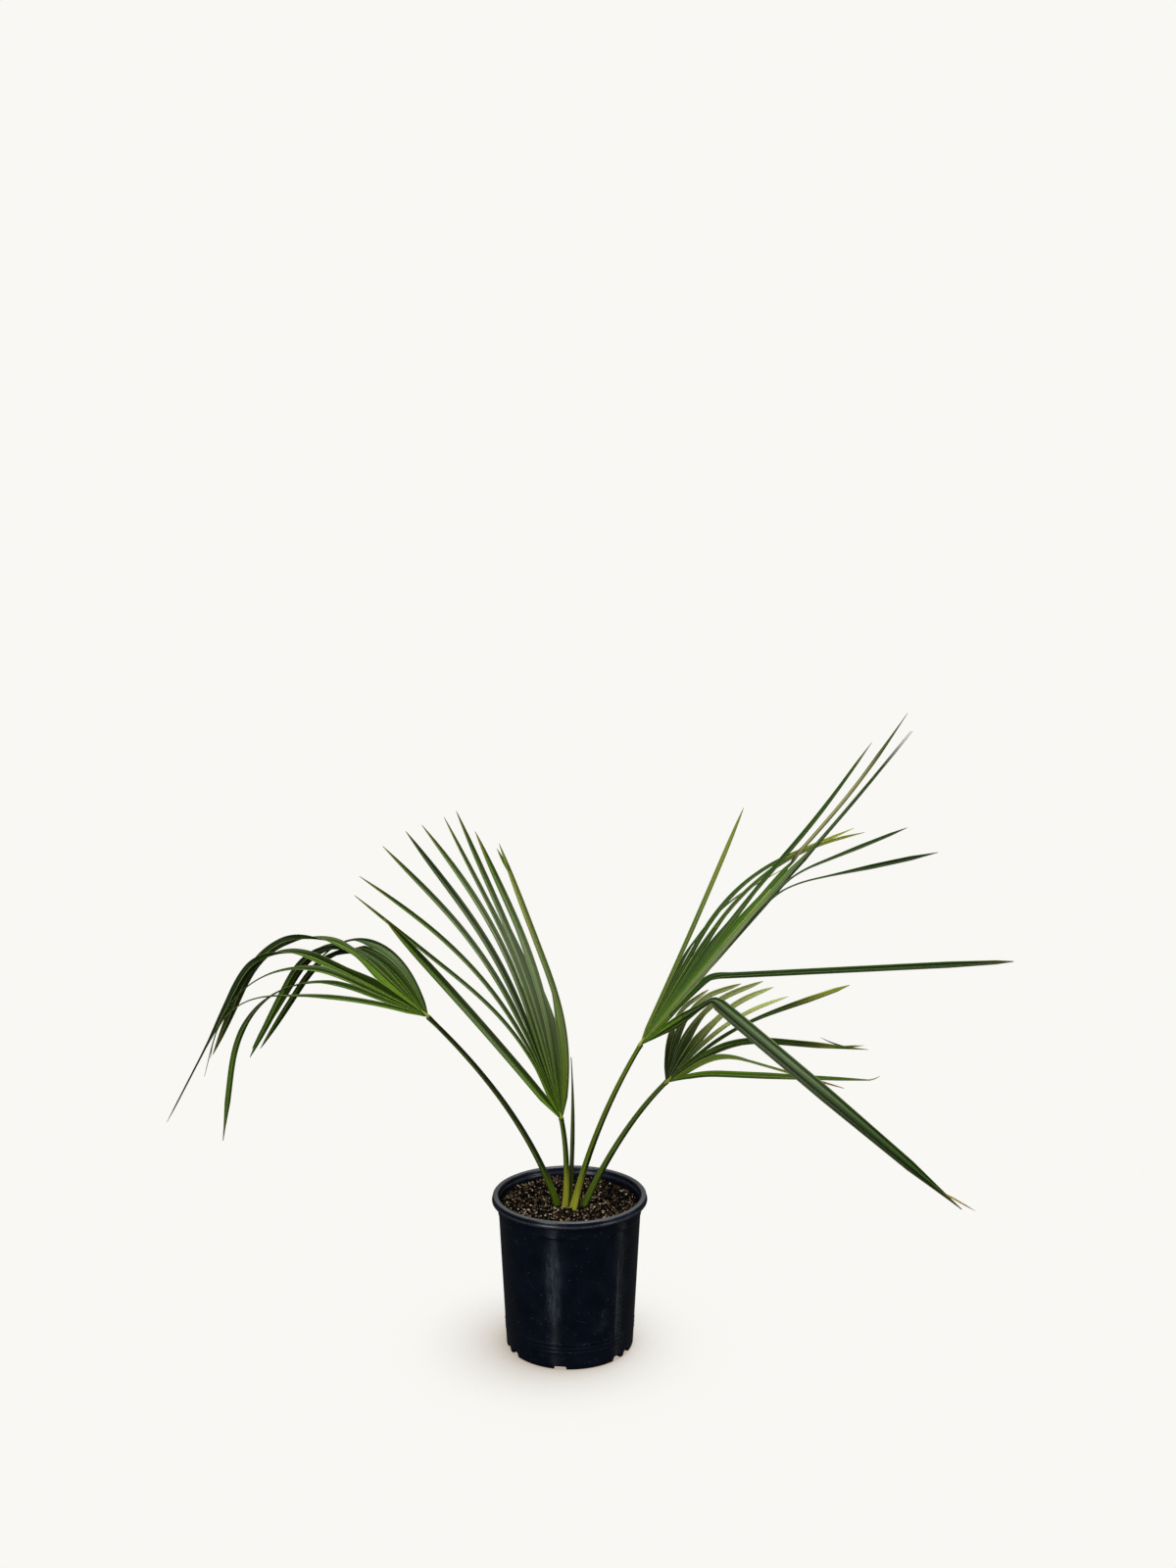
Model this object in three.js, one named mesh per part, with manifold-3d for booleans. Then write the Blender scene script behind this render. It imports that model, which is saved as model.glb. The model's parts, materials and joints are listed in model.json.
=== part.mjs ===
// A young cabbage palmetto in a nursery pot, in millimetres, +Z up.
// The origin is the centre of the pot's underside. +X is to the right and +Y away from the front.

import * as THREE from 'three';
import { mergeVertices } from 'three/addons/utils/BufferGeometryUtils.js';
import Module from 'manifold-3d';

const wasm = await Module();
wasm.setup();

// Pot
const POT_HEIGHT = 200;
const RIM_RADIUS = 100;
const RIM_HEIGHT = 9;
const RIM_INNER_RADIUS = 91.5;
const LIP_CHAMFER = 1.5;
const WALL_TOP_RADIUS = 92;
const BASE_RADIUS = 82;
const WALL = 2.2;
const FLOOR = 3;
const EDGE_ROUNDING = 2;
const STACKING_STEP_HEIGHT = 175;
const BASE_RINGS = [23, 28, 34];
const RING_DEPTH = 0.6;
const RING_HALF_HEIGHT = 1;
const POT_SIDES = 56;
const NOTCH_WIDTH = 16;
const NOTCH_HEIGHT = 7;
const NOTCH_DEPTH = 9;
const NOTCH_POST = 4;
const SINGLE_NOTCH_ANGLES = [262, 22, 142];
const PAIRED_NOTCH_ANGLES = [205, 325, 85];

// Potting mix
const SOIL_HEIGHT = 188;
const SOIL_RISE_AT_WALL = 3;
const SOIL_LEDGE_WIDTH = 9;
const SOIL_SLOPE_WIDTH = 15;
const SOIL_NOTCH_RELIEF = 2;

// Spacing of pieces that touch
const CLEARANCE = 0.35;

// Petioles, from the soil to the hastula, the knob where the blade begins
const PETIOLE_SIDES = 8;
const PETIOLE_RINGS = 9;
const PETIOLE_END = 6.6;

// Blades
const BLADE_START = 8;
const JOINED_STATION = 20;
const FLAT_NEAR_HASTULA = 45;
const THICKNESS_PER_REACH = 0.01;
const TIP_THICKNESS_SHARE = 0.5;
const TIP_WIDTH_SHARE = 0.12;
const FOLD_SHARE = 0.22;
const FOLD_MOST = 2.4;
const WIDTH_TAPER_POWER = 3;
const THICKNESS_TAPER_POWER = 4;
const NEIGHBOUR_SHARE = 0.46;
const EDGE_BLEND = 40;
const OUTER_EDGE_START = 0.5;
const OUTER_EDGE_SLOPE = 0.12;
const FREE_STATION = 80;
const BEND_PER_STATION = 16;
const STATION_SEARCH = 4;
const LEAST_FREE_STATIONS = 3;
const RIB_SAMPLES = 120;

// Points of a surface closer than this are one point
const MERGE_DISTANCE = 1e-4;

const FINISHES = {
  pot: { color: 0x0c121c, roughness: 0.4 },
  soil: { color: 0x2a1f18, roughness: 0.95 },
  petiole: { color: 0x55782f, roughness: 0.5 },
  spear: { color: 0x33451f, roughness: 0.5 },
  blade: { color: 0x2f5a26, roughness: 0.45 },
};

// Each frond is a fan of leaf segments. A segment's rib keeps to the upright plane of its turn, which is
// counted from +X towards +Y. It leaves the hastula at the slope rise, sags evenly by sag degrees, and bends
// to the slope fall between two shares of its reach. Its right edge stays joined to the next segment as far
// as joined. Past the length hang, where that is given, the segment is a strap of its own.
const FRONDS = {
  left: {
    hastula: [-178, -10, 435],
    petiole: { foot: [-14, -14], lean: [-54, -12, 314], footRadius: 4.6, tipRadius: 2.9 },
    width: 11,
    segments: [
      {
        turn: 206, rise: 24, sag: 30, fall: -82, bend: [0.6, 1], reach: 322,
        joined: 60, width: 8, hang: 200,
      },
      { turn: 200, rise: 26, fall: -82, bend: [0.2, 0.82], reach: 404, joined: 105, width: 9, hang: 190 },
      { turn: 194, rise: 29, fall: -76, bend: [0.25, 0.95], reach: 370, joined: 145, hang: 210 },
      {
        turn: 188, rise: 34, sag: 20, fall: -62, bend: [0.32, 0.6], reach: 470,
        joined: 80, width: 12, hang: 200,
      },
      { turn: 182, rise: 44, fall: -66, bend: [0.22, 0.8], reach: 394, joined: 120, hang: 205 },
      { turn: 173, rise: 46, fall: -62, bend: [0.2, 0.7], reach: 348, joined: 130, width: 9, hang: 180 },
      { turn: 166, rise: 49, fall: -58, bend: [0.16, 0.7], reach: 350, joined: 130, width: 8, hang: 180 },
      { turn: 159, rise: 52, fall: -55, bend: [0.08, 0.7], reach: 346, joined: 120, width: 7, hang: 175 },
      { turn: 152, rise: 68, fall: -54, bend: [0, 0.8], reach: 330, width: 6, hang: 165 },
    ],
  },
  upright: {
    hastula: [-10, 0, 297],
    petiole: { foot: [-6, -20], lean: [0, -8, 250], footRadius: 4.2, tipRadius: 3 },
    width: 11,
    segments: [
      { turn: 205, rise: 53, fall: 49, bend: [0, 1], reach: 366, joined: 40, width: 11 },
      { turn: 200, rise: 70, fall: 43, bend: [0, 0.55], reach: 412, joined: 95, width: 6 },
      { turn: 196, rise: 68, fall: 37, bend: [0, 1], reach: 423, joined: 112, width: 7 },
      { turn: 192, rise: 70, sag: 10, fall: 47, bend: [0.2, 0.9], reach: 430, joined: 155, width: 9 },
      { turn: 187, rise: 71, fall: 54, bend: [0.2, 0.85], reach: 427, joined: 175 },
      { turn: 182, rise: 74, fall: 53, bend: [0.2, 1], reach: 424, joined: 200, width: 9 },
      { turn: 176, rise: 77, fall: 63, bend: [0.1, 0.8], reach: 419, joined: 300, width: 7 },
      { turn: 170, rise: 79, fall: 66, bend: [0.1, 0.7], reach: 420, joined: 240, width: 9 },
      { turn: 162, rise: 83, fall: 64, bend: [0.1, 0.8], reach: 389, joined: 146, width: 9 },
      { turn: 152, rise: 98, fall: 66, bend: [0, 0.6], reach: 370, width: 9 },
    ],
  },
  high: {
    hastula: [90, 5, 394],
    petiole: { foot: [3, -31], lean: [30, -12, 297], footRadius: 5.2, tipRadius: 3.2 },
    width: 11,
    segments: [
      { turn: 38, rise: 57, fall: 60, bend: [0, 1], reach: 339, joined: 125, width: 7 },
      { turn: 34, rise: 55, fall: 4, bend: [0.15, 1], reach: 463, joined: 230, width: 7 },
      { turn: 30, rise: 54, fall: 5, bend: [0.2, 1], reach: 468, joined: 180, width: 7 },
      { turn: 26, rise: 52, fall: 12, bend: [0.25, 1], reach: 430, joined: 150, width: 8 },
      { turn: 20, rise: 52, fall: 46, bend: [0, 1], reach: 498, joined: 190 },
      { turn: 14, rise: 50, sag: 6, fall: 54, bend: [0.6, 1], reach: 550, joined: 290, width: 8 },
      { turn: 8, rise: 47, fall: 51, bend: [0, 1], reach: 528, joined: 440 },
      { turn: 3, rise: 47, fall: 51, bend: [0, 1], reach: 526, joined: 250 },
      { turn: -3, rise: 49, fall: 24, bend: [0.55, 0.75], reach: 442, joined: 235, width: 7 },
      { turn: -9, rise: 50, fall: 15, bend: [0.45, 0.7], reach: 465, joined: 118, width: 7 },
      { turn: -17, rise: 47, fall: 7, bend: [0.2, 0.36], reach: 500, joined: 40, width: 9 },
      { turn: -27, rise: 36, fall: -34, bend: [0.2, 0.28], reach: 504, width: 20, hang: 130 },
    ],
  },
  low: {
    hastula: [124, 10, 343],
    petiole: { foot: [15, -20], lean: [66, -2, 291], footRadius: 4.6, tipRadius: 2.9 },
    width: 8,
    segments: [
      { turn: 60, rise: 95, fall: 5, bend: [0, 0.75], reach: 184, joined: 75 },
      { turn: 50, rise: 72, fall: 0, bend: [0.05, 0.8], reach: 217, joined: 68 },
      { turn: 42, rise: 62, fall: 5, bend: [0, 0.85], reach: 224, joined: 86 },
      { turn: 34, rise: 42, fall: 8, bend: [0.3, 0.95], reach: 209, joined: 86 },
      { turn: 27, rise: 40, fall: 9, bend: [0.1, 1], reach: 211, joined: 42 },
      { turn: 20, rise: 38, fall: 13, bend: [0, 0.7], reach: 287, joined: 60, width: 9 },
      { turn: 10, rise: 40, fall: -8, bend: [0, 0.6], reach: 285, joined: 72, width: 8 },
      { turn: 2, rise: 41, fall: -20, bend: [0, 0.55], reach: 252, joined: 24, width: 5 },
      { turn: -8, rise: 22, fall: 0, bend: [0, 0.3], reach: 272, width: 9 },
    ],
  },
};

// The unopened spear leaf, from the soil through a point half way to its tip
const SPEAR = { foot: [0, -6], middle: [4, 0, 292], tip: [2, 4, 379], footRadius: 2.8, tipRadius: 0.6 };

const group = new THREE.Group();

function addMesh(name, geometry, finish) {
  const material = new THREE.MeshStandardMaterial({ ...finish, metalness: 0 });
  const mesh = new THREE.Mesh(geometry, material);
  mesh.name = name;
  group.add(mesh);
}

function radians(degrees) {
  return THREE.MathUtils.degToRad(degrees);
}

// Joining and cutting
function solidOf(geometry) {
  const bare = geometry.clone();
  bare.deleteAttribute('normal');
  bare.deleteAttribute('uv');
  const merged = mergeVertices(bare, MERGE_DISTANCE);
  const vertProperties = new Float32Array(merged.attributes.position.array);
  const triVerts = new Uint32Array(merged.index.array);
  return new wasm.Manifold(new wasm.Mesh({ numProp: 3, vertProperties, triVerts }));
}

function geometryOf(solid) {
  const mesh = solid.getMesh();
  const geometry = new THREE.BufferGeometry();
  geometry.setAttribute('position', new THREE.BufferAttribute(new Float32Array(mesh.vertProperties), 3));
  geometry.setIndex(Array.from(mesh.triVerts));
  return geometry;
}

function turned(profile) {
  const points = profile.map(([radius, height]) => new THREE.Vector2(radius, height));
  return new THREE.LatheGeometry(points, POT_SIDES).rotateX(Math.PI / 2);
}

// Pot
function wallRadiusAt(height) {
  const wallTop = POT_HEIGHT - RIM_HEIGHT;
  return BASE_RADIUS + (WALL_TOP_RADIUS - BASE_RADIUS) * (height / wallTop);
}

function potProfile() {
  const outside = [[0, 0], [BASE_RADIUS - EDGE_ROUNDING, 0], [BASE_RADIUS, EDGE_ROUNDING]];
  const onWall = (height, proud) => outside.push([wallRadiusAt(height) + proud, height]);
  for (const height of BASE_RINGS) {
    onWall(height - RING_HALF_HEIGHT, 0);
    onWall(height, RING_DEPTH);
    onWall(height + RING_HALF_HEIGHT, 0);
  }
  onWall(STACKING_STEP_HEIGHT, 0);
  onWall(STACKING_STEP_HEIGHT + RING_HALF_HEIGHT, RING_DEPTH);
  const rimBottom = POT_HEIGHT - RIM_HEIGHT;
  const rim = [
    [WALL_TOP_RADIUS, rimBottom],
    [RIM_RADIUS - EDGE_ROUNDING, rimBottom],
    [RIM_RADIUS, rimBottom + EDGE_ROUNDING],
    [RIM_RADIUS, POT_HEIGHT - EDGE_ROUNDING],
    [RIM_RADIUS - EDGE_ROUNDING, POT_HEIGHT],
    [RIM_INNER_RADIUS + LIP_CHAMFER, POT_HEIGHT],
    [RIM_INNER_RADIUS, POT_HEIGHT - LIP_CHAMFER],
  ];
  const inside = [
    [wallRadiusAt(rimBottom) - WALL, rimBottom],
    [wallRadiusAt(FLOOR) - WALL, FLOOR],
    [0, FLOOR],
  ];
  return [...outside, ...rim, ...inside];
}

function notchCutter(angle) {
  const block = new THREE.BoxGeometry(2 * NOTCH_DEPTH, NOTCH_WIDTH, 2 * NOTCH_HEIGHT);
  block.translate(BASE_RADIUS, 0, 0);
  return solidOf(block.rotateZ(radians(angle)));
}

function notchAngles() {
  const halfPair = THREE.MathUtils.radToDeg((NOTCH_WIDTH + NOTCH_POST) / 2 / BASE_RADIUS);
  const pairs = PAIRED_NOTCH_ANGLES.flatMap((angle) => [angle - halfPair, angle + halfPair]);
  return [...SINGLE_NOTCH_ANGLES, ...pairs];
}

function potGeometry() {
  let pot = solidOf(turned(potProfile()));
  for (const angle of notchAngles()) {
    pot = pot.subtract(notchCutter(angle));
  }
  return geometryOf(pot);
}

// Potting mix, clear of the notches that open under it
function soilGeometry() {
  const radiusAt = (height) => wallRadiusAt(height) - WALL - CLEARANCE;
  const bottom = FLOOR + CLEARANCE;
  const overNotches = NOTCH_HEIGHT + CLEARANCE;
  const reliefRadius = BASE_RADIUS - NOTCH_DEPTH - SOIL_NOTCH_RELIEF;
  const edgeHeight = SOIL_HEIGHT + SOIL_RISE_AT_WALL;
  const ledgeRadius = radiusAt(edgeHeight) - SOIL_LEDGE_WIDTH;
  return turned([
    [0, bottom],
    [reliefRadius, bottom],
    [reliefRadius + SOIL_NOTCH_RELIEF / 2, overNotches],
    [radiusAt(overNotches), overNotches],
    [radiusAt(edgeHeight), edgeHeight],
    [ledgeRadius, edgeHeight],
    [ledgeRadius - SOIL_SLOPE_WIDTH, SOIL_HEIGHT],
    [0, SOIL_HEIGHT],
  ]);
}

// A tapering limb along a curve: a cylinder whose rings are set on the curve, the lowest one level
function limbGeometry(curve, footRadius, tipRadius, sides, rings) {
  const limb = new THREE.CylinderGeometry(tipRadius, footRadius, 1, sides, rings);
  const position = limb.attributes.position;
  const up = new THREE.Vector3(0, 0, 1);
  for (let i = 0; i < position.count; i += 1) {
    const share = position.getY(i) + 0.5;
    const along = share > 0 ? curve.getTangent(share) : up;
    const turn = new THREE.Quaternion().setFromUnitVectors(up, along);
    const offset = new THREE.Vector3(position.getX(i), -position.getZ(i), 0).applyQuaternion(turn);
    const point = curve.getPoint(share).add(offset);
    position.setXYZ(i, point.x, point.y, point.z);
  }
  return limb;
}

function footPoint(foot) {
  return new THREE.Vector3(foot[0], foot[1], SOIL_HEIGHT + CLEARANCE);
}

function petioleGeometry(frond, bladeDirection) {
  const { foot, lean, footRadius, tipRadius } = frond.petiole;
  const end = new THREE.Vector3(...frond.hastula).addScaledVector(bladeDirection, PETIOLE_END);
  const curve = new THREE.QuadraticBezierCurve3(footPoint(foot), new THREE.Vector3(...lean), end);
  return limbGeometry(curve, footRadius, tipRadius, PETIOLE_SIDES, PETIOLE_RINGS);
}

function spearGeometry() {
  const points = [footPoint(SPEAR.foot), new THREE.Vector3(...SPEAR.middle), new THREE.Vector3(...SPEAR.tip)];
  const curve = new THREE.CatmullRomCurve3(points);
  return limbGeometry(curve, SPEAR.footRadius, SPEAR.tipRadius, PETIOLE_SIDES, PETIOLE_RINGS);
}

// The rib of a leaf segment: points and slopes at even steps of its reach
function ribOf(frond, segment) {
  const [bendFrom, bendTo] = segment.bend;
  const sag = segment.sag ?? 0;
  const turn = radians(segment.turn);
  const outward = new THREE.Vector3(Math.cos(turn), Math.sin(turn), 0);
  const across = new THREE.Vector3(-Math.sin(turn), Math.cos(turn), 0);
  const directionAt = (distance) => {
    const eased = THREE.MathUtils.smoothstep(distance / segment.reach, bendFrom, bendTo);
    const sagged = segment.rise - sag * (distance / segment.reach) * (1 - eased);
    const slope = radians(THREE.MathUtils.lerp(sagged, segment.fall, eased));
    return outward.clone().multiplyScalar(Math.cos(slope)).setZ(Math.sin(slope));
  };
  const step = segment.reach / RIB_SAMPLES;
  const samples = [new THREE.Vector3(...frond.hastula)];
  for (let i = 0; i < RIB_SAMPLES; i += 1) {
    samples.push(samples[i].clone().addScaledVector(directionAt((i + 0.5) * step), step));
  }
  const pointAt = (distance) => {
    const place = THREE.MathUtils.clamp(distance / step, 0, RIB_SAMPLES);
    const index = Math.min(Math.floor(place), RIB_SAMPLES - 1);
    return samples[index].clone().lerp(samples[index + 1], place - index);
  };
  const width = segment.width ?? frond.width;
  const end = segment.hang ?? segment.reach;
  return { ...segment, width, end, across, directionAt, pointAt };
}

// The tilt of a segment across its rib, from the places of its neighbours where it parts from them
function crossDirection(ribs, index, distance) {
  const before = ribs[Math.max(index - 1, 0)];
  const after = ribs[Math.min(index + 1, ribs.length - 1)];
  const rib = ribs[index];
  const parting = Math.min(Math.max(rib.joined ?? 0, before.joined ?? 0), rib.reach);
  const spread = before.pointAt(parting).sub(after.pointAt(parting));
  const alongThere = rib.directionAt(parting);
  const upThere = alongThere.clone().cross(rib.across);
  const roll = Math.atan2(spread.dot(upThere), spread.dot(rib.across));
  const up = rib.directionAt(distance).cross(rib.across);
  return rib.across.clone().multiplyScalar(Math.cos(roll)).addScaledVector(up, Math.sin(roll));
}

function naturalHalfWidth(rib, distance) {
  const share = distance / rib.reach;
  const taper = 1 - (1 - TIP_WIDTH_SHARE) * share ** WIDTH_TAPER_POWER;
  return (rib.width / 2) * taper;
}

function spacing(ribs, index, other, distance) {
  return ribs[index].pointAt(distance).distanceTo(ribs[other].pointAt(distance));
}

// Half width of a segment's free side, from its joined width to its own, and never onto its neighbour
function freeHalfWidth(ribs, index, other, joinedTo, distance) {
  const rib = ribs[index];
  const natural = naturalHalfWidth(rib, distance);
  if (!ribs[other]) {
    return Math.min(natural, OUTER_EDGE_START + OUTER_EDGE_SLOPE * distance);
  }
  const joinedHalf = spacing(ribs, index, other, joinedTo) / 2;
  const blend = THREE.MathUtils.clamp((distance - joinedTo) / EDGE_BLEND, 0, 1);
  const wanted = THREE.MathUtils.lerp(joinedHalf, natural, blend);
  return Math.min(wanted, NEIGHBOUR_SHARE * spacing(ribs, index, other, distance));
}

function thicknessAt(rib, distance) {
  const share = distance / rib.reach;
  const full = THICKNESS_PER_REACH * rib.reach;
  return full * THREE.MathUtils.lerp(1, TIP_THICKNESS_SHARE, share ** THICKNESS_TAPER_POWER);
}

function meanDirection(ribs) {
  const sum = new THREE.Vector3();
  for (const rib of ribs) {
    sum.add(rib.directionAt(0));
  }
  return sum.normalize();
}

// Stations at even steps as far as two segments are joined
function joinedStations(joinedTo, from) {
  const stations = [from];
  while (stations.at(-1) + JOINED_STATION / 2 < joinedTo) {
    stations.push(stations.at(-1) + JOINED_STATION);
  }
  return stations;
}

// Past the joined stations they follow at even steps of length and bend together
function stationsOf(ribs, index, from) {
  const rib = ribs[index];
  const joinedTo = Math.max(rib.joined ?? 0, ribs[index - 1]?.joined ?? 0);
  const stations = joinedStations(joinedTo, from);
  const start = stations.at(-1);
  const slopeAt = (distance) => THREE.MathUtils.radToDeg(Math.asin(rib.directionAt(distance).z));
  const steps = [];
  let total = 0;
  for (let distance = start; distance < rib.end; distance += STATION_SEARCH) {
    const next = Math.min(distance + STATION_SEARCH, rib.end);
    const bend = Math.abs(slopeAt(next) - slopeAt(distance));
    total += (next - distance) / FREE_STATION + bend / BEND_PER_STATION;
    steps.push({ next, total });
  }
  const count = Math.max(Math.round(total), LEAST_FREE_STATIONS);
  for (let i = 1; i < count; i += 1) {
    stations.push(steps.find((step) => step.total >= (total * i) / count).next);
  }
  stations.push(rib.end);
  return stations;
}

// A closed solid of neighbouring segments, from one distance from the hastula to each segment's own end
function fanGeometry(ribs, members, from, meanUp) {
  const positions = [];
  const faces = [];
  const rows = new Map();

  const addPair = (point, up, thickness) => {
    const top = point.clone().addScaledVector(up, thickness / 2);
    const bottom = point.clone().addScaledVector(up, -thickness / 2);
    positions.push(top.x, top.y, top.z, bottom.x, bottom.y, bottom.z);
    return positions.length / 3 - 2;
  };
  const addQuad = (a, b, c, d) => faces.push(a, b, c, a, c, d);
  const upAt = (index, distance) => {
    const cross = crossDirection(ribs, index, distance);
    const own = ribs[index].directionAt(distance).cross(cross).normalize();
    const ease = THREE.MathUtils.smoothstep(distance, BLADE_START, FLAT_NEAR_HASTULA);
    return meanUp.clone().lerp(own, ease).normalize();
  };
  const joinedCount = (left) => {
    const both = members.includes(left) && members.includes(left + 1);
    return both ? joinedStations(ribs[left].joined ?? 0, from).length : 0;
  };

  for (const index of members) {
    const rib = ribs[index];
    const stations = stationsOf(ribs, index, from);
    const leftCount = joinedCount(index - 1);
    const rightCount = joinedCount(index);
    const row = stations.map((distance, k) => {
      const middle = rib.pointAt(distance);
      const up = upAt(index, distance);
      const cross = crossDirection(ribs, index, distance);
      const thickness = thicknessAt(rib, distance);
      const halfLeft = freeHalfWidth(ribs, index, index - 1, ribs[index - 1]?.joined ?? 0, distance);
      const halfRight = freeHalfWidth(ribs, index, index + 1, rib.joined ?? 0, distance);
      const fold = Math.min(FOLD_MOST, FOLD_SHARE * (halfLeft + halfRight));
      const left = k < leftCount
        ? rows.get(index - 1)[k].right
        : addPair(middle.clone().addScaledVector(cross, halfLeft), up, thickness);
      const centre = addPair(middle.clone().addScaledVector(up, -fold), up, thickness);
      let right;
      if (k < rightCount) {
        const next = ribs[index + 1];
        const shared = middle.clone().lerp(next.pointAt(distance), 0.5);
        const sharedUp = up.clone().add(upAt(index + 1, distance)).normalize();
        right = addPair(shared, sharedUp, (thickness + thicknessAt(next, distance)) / 2);
      } else {
        right = addPair(middle.clone().addScaledVector(cross, -halfRight), up, thickness);
      }
      return { left, centre, right };
    });
    rows.set(index, row);

    const last = row.length - 1;
    for (let k = 0; k < last; k += 1) {
      const here = row[k];
      const next = row[k + 1];
      addQuad(here.left, here.centre, next.centre, next.left);
      addQuad(here.centre, here.right, next.right, next.centre);
      addQuad(here.left + 1, next.left + 1, next.centre + 1, here.centre + 1);
      addQuad(here.centre + 1, next.centre + 1, next.right + 1, here.right + 1);
      if (k + 1 >= leftCount) {
        addQuad(here.left, next.left, next.left + 1, here.left + 1);
      }
      if (k + 1 >= rightCount) {
        addQuad(here.right, here.right + 1, next.right + 1, next.right);
      }
    }
    for (const [end, flip] of [[row[0], false], [row[last], true]]) {
      for (const [a, b] of [[end.left, end.centre], [end.centre, end.right]]) {
        if (flip) {
          addQuad(a, b, b + 1, a + 1);
        } else {
          addQuad(a, a + 1, b + 1, b);
        }
      }
    }
  }
  const geometry = new THREE.BufferGeometry();
  geometry.setAttribute('position', new THREE.Float32BufferAttribute(positions, 3));
  geometry.setIndex(faces);
  return geometry;
}

// Assembly
addMesh('pot', potGeometry(), FINISHES.pot);
addMesh('soil', soilGeometry(), FINISHES.soil);
addMesh('spear', spearGeometry(), FINISHES.spear);
for (const [side, frond] of Object.entries(FRONDS)) {
  const ribs = frond.segments.map((segment) => ribOf(frond, segment));
  const everyone = ribs.map((rib, index) => index);
  const direction = meanDirection(ribs);
  const meanAcross = ribs[0].directionAt(0).sub(ribs.at(-1).directionAt(0)).normalize();
  const meanUp = direction.clone().cross(meanAcross).normalize();
  addMesh(`petiole_${side}`, petioleGeometry(frond, direction), FINISHES.petiole);
  addMesh(`blade_${side}`, fanGeometry(ribs, everyone, BLADE_START, meanUp), FINISHES.blade);
  for (const [index, rib] of ribs.entries()) {
    if (rib.hang) {
      const strap = ribs.map((each) => ({ ...each, end: each.reach }));
      const geometry = fanGeometry(strap, [index], rib.hang + CLEARANCE, meanUp);
      addMesh(`strap_${side}_${index + 1}`, geometry, FINISHES.blade);
    }
  }
}

export default group;
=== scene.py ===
import json
import math

import bpy
import numpy as np
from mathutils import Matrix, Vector, noise

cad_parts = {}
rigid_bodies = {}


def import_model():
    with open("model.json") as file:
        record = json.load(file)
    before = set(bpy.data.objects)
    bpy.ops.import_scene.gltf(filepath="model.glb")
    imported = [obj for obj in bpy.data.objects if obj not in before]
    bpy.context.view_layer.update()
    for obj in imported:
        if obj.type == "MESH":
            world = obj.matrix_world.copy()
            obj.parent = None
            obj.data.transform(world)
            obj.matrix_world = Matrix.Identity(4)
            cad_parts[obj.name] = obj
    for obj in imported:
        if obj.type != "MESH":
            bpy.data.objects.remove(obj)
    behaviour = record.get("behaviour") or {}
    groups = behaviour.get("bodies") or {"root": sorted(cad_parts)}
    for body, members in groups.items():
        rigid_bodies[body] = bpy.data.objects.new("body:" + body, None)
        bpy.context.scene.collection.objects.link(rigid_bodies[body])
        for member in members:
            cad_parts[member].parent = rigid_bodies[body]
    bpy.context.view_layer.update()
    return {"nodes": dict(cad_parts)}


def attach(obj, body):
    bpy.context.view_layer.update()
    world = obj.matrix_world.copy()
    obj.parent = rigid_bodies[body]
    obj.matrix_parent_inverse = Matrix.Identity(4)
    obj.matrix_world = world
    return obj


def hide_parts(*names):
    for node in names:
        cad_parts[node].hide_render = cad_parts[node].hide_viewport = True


# A young cabbage palmetto in a nursery pot, +Z up. The origin is the centre of the pot's underside, +X is to
# the right and +Y away from the front. Sizes are in millimetres up to the meshes, which are in metres.

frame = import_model()

MM = 0.001
FULL_TURN = 2 * math.pi
VECTOR = "FLOAT_VECTOR"

# Camera
PICTURE_HEIGHT = 1600
FOCAL_PIXELS = 1653
SENSOR = 36
CAMERA_PLACE = (0.0236, -2.0, 0.99)
CAMERA_PITCH = 7.4

# Floor, in metres
BACKDROP = (249, 248, 244)
FLOOR_REACH = 6
SHADOW_REACH = 0.16
SHADOW_LEAN = (0.15, 0, 0.99)

# Pot, with the same sizes as its solid. The shapes are steps along the wall and how far each stands proud.
WALL_TOP_RADIUS = 92
WALL_TOP = 191
BASE_RADIUS = 82
WALL = 2.2
FLOOR = 3
BASE_EDGE_TOP = 2.4
BASE_RINGS = (23, 28, 34)
RING_HALF = 1.6
RING_SHAPE = ((-1.1, 0.05), (-0.5, 0.32), (0, 0.4), (0.5, 0.32), (1.1, 0.05), (RING_HALF, 0))
STACKING_STEP = 175
STEP_SHAPE = ((-0.3, 0.1), (0.3, 0.6), (1.2, 0.85), (2.4, 0.6), (6, 0.5))
RIM_OUTLINE = (
    (92.3, 189.6), (93.0, 190.6), (95.0, 191.0), (98.2, 191.0), (99.4, 191.4), (99.9, 192.2), (100, 193.2),
    (99.8, 194.2), (99.3, 195.0), (99.05, 196.0), (98.95, 197.4), (98.7, 198.5), (98.1, 199.3), (97.1, 199.8),
    (95.6, 200), (94.2, 199.95), (93.0, 199.6), (92.1, 198.9), (91.6, 197.8), (91.4, 196.2), (91.2, 194.2),
    (90.7, 193.4), (90.2, 192.8),
)
POT_SIDES = 240
SHARP_EDGE = 32
NOTCH_WIDTH = 16
NOTCH_HEIGHT = 7
NOTCH_DEPTH = 9
NOTCH_POST = 4
NOTCH_OUTLINE = ((-0.5, -0.4), (0.5, -0.4), (0.5, 0.25), (0.44, 0.72), (0.34, 0.93), (0.2, 1.0),
                 (-0.2, 1.0), (-0.34, 0.93), (-0.44, 0.72), (-0.5, 0.25))
SINGLE_NOTCHES = (262, 22, 142)
PAIRED_NOTCHES = (205, 325, 85)

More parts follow.
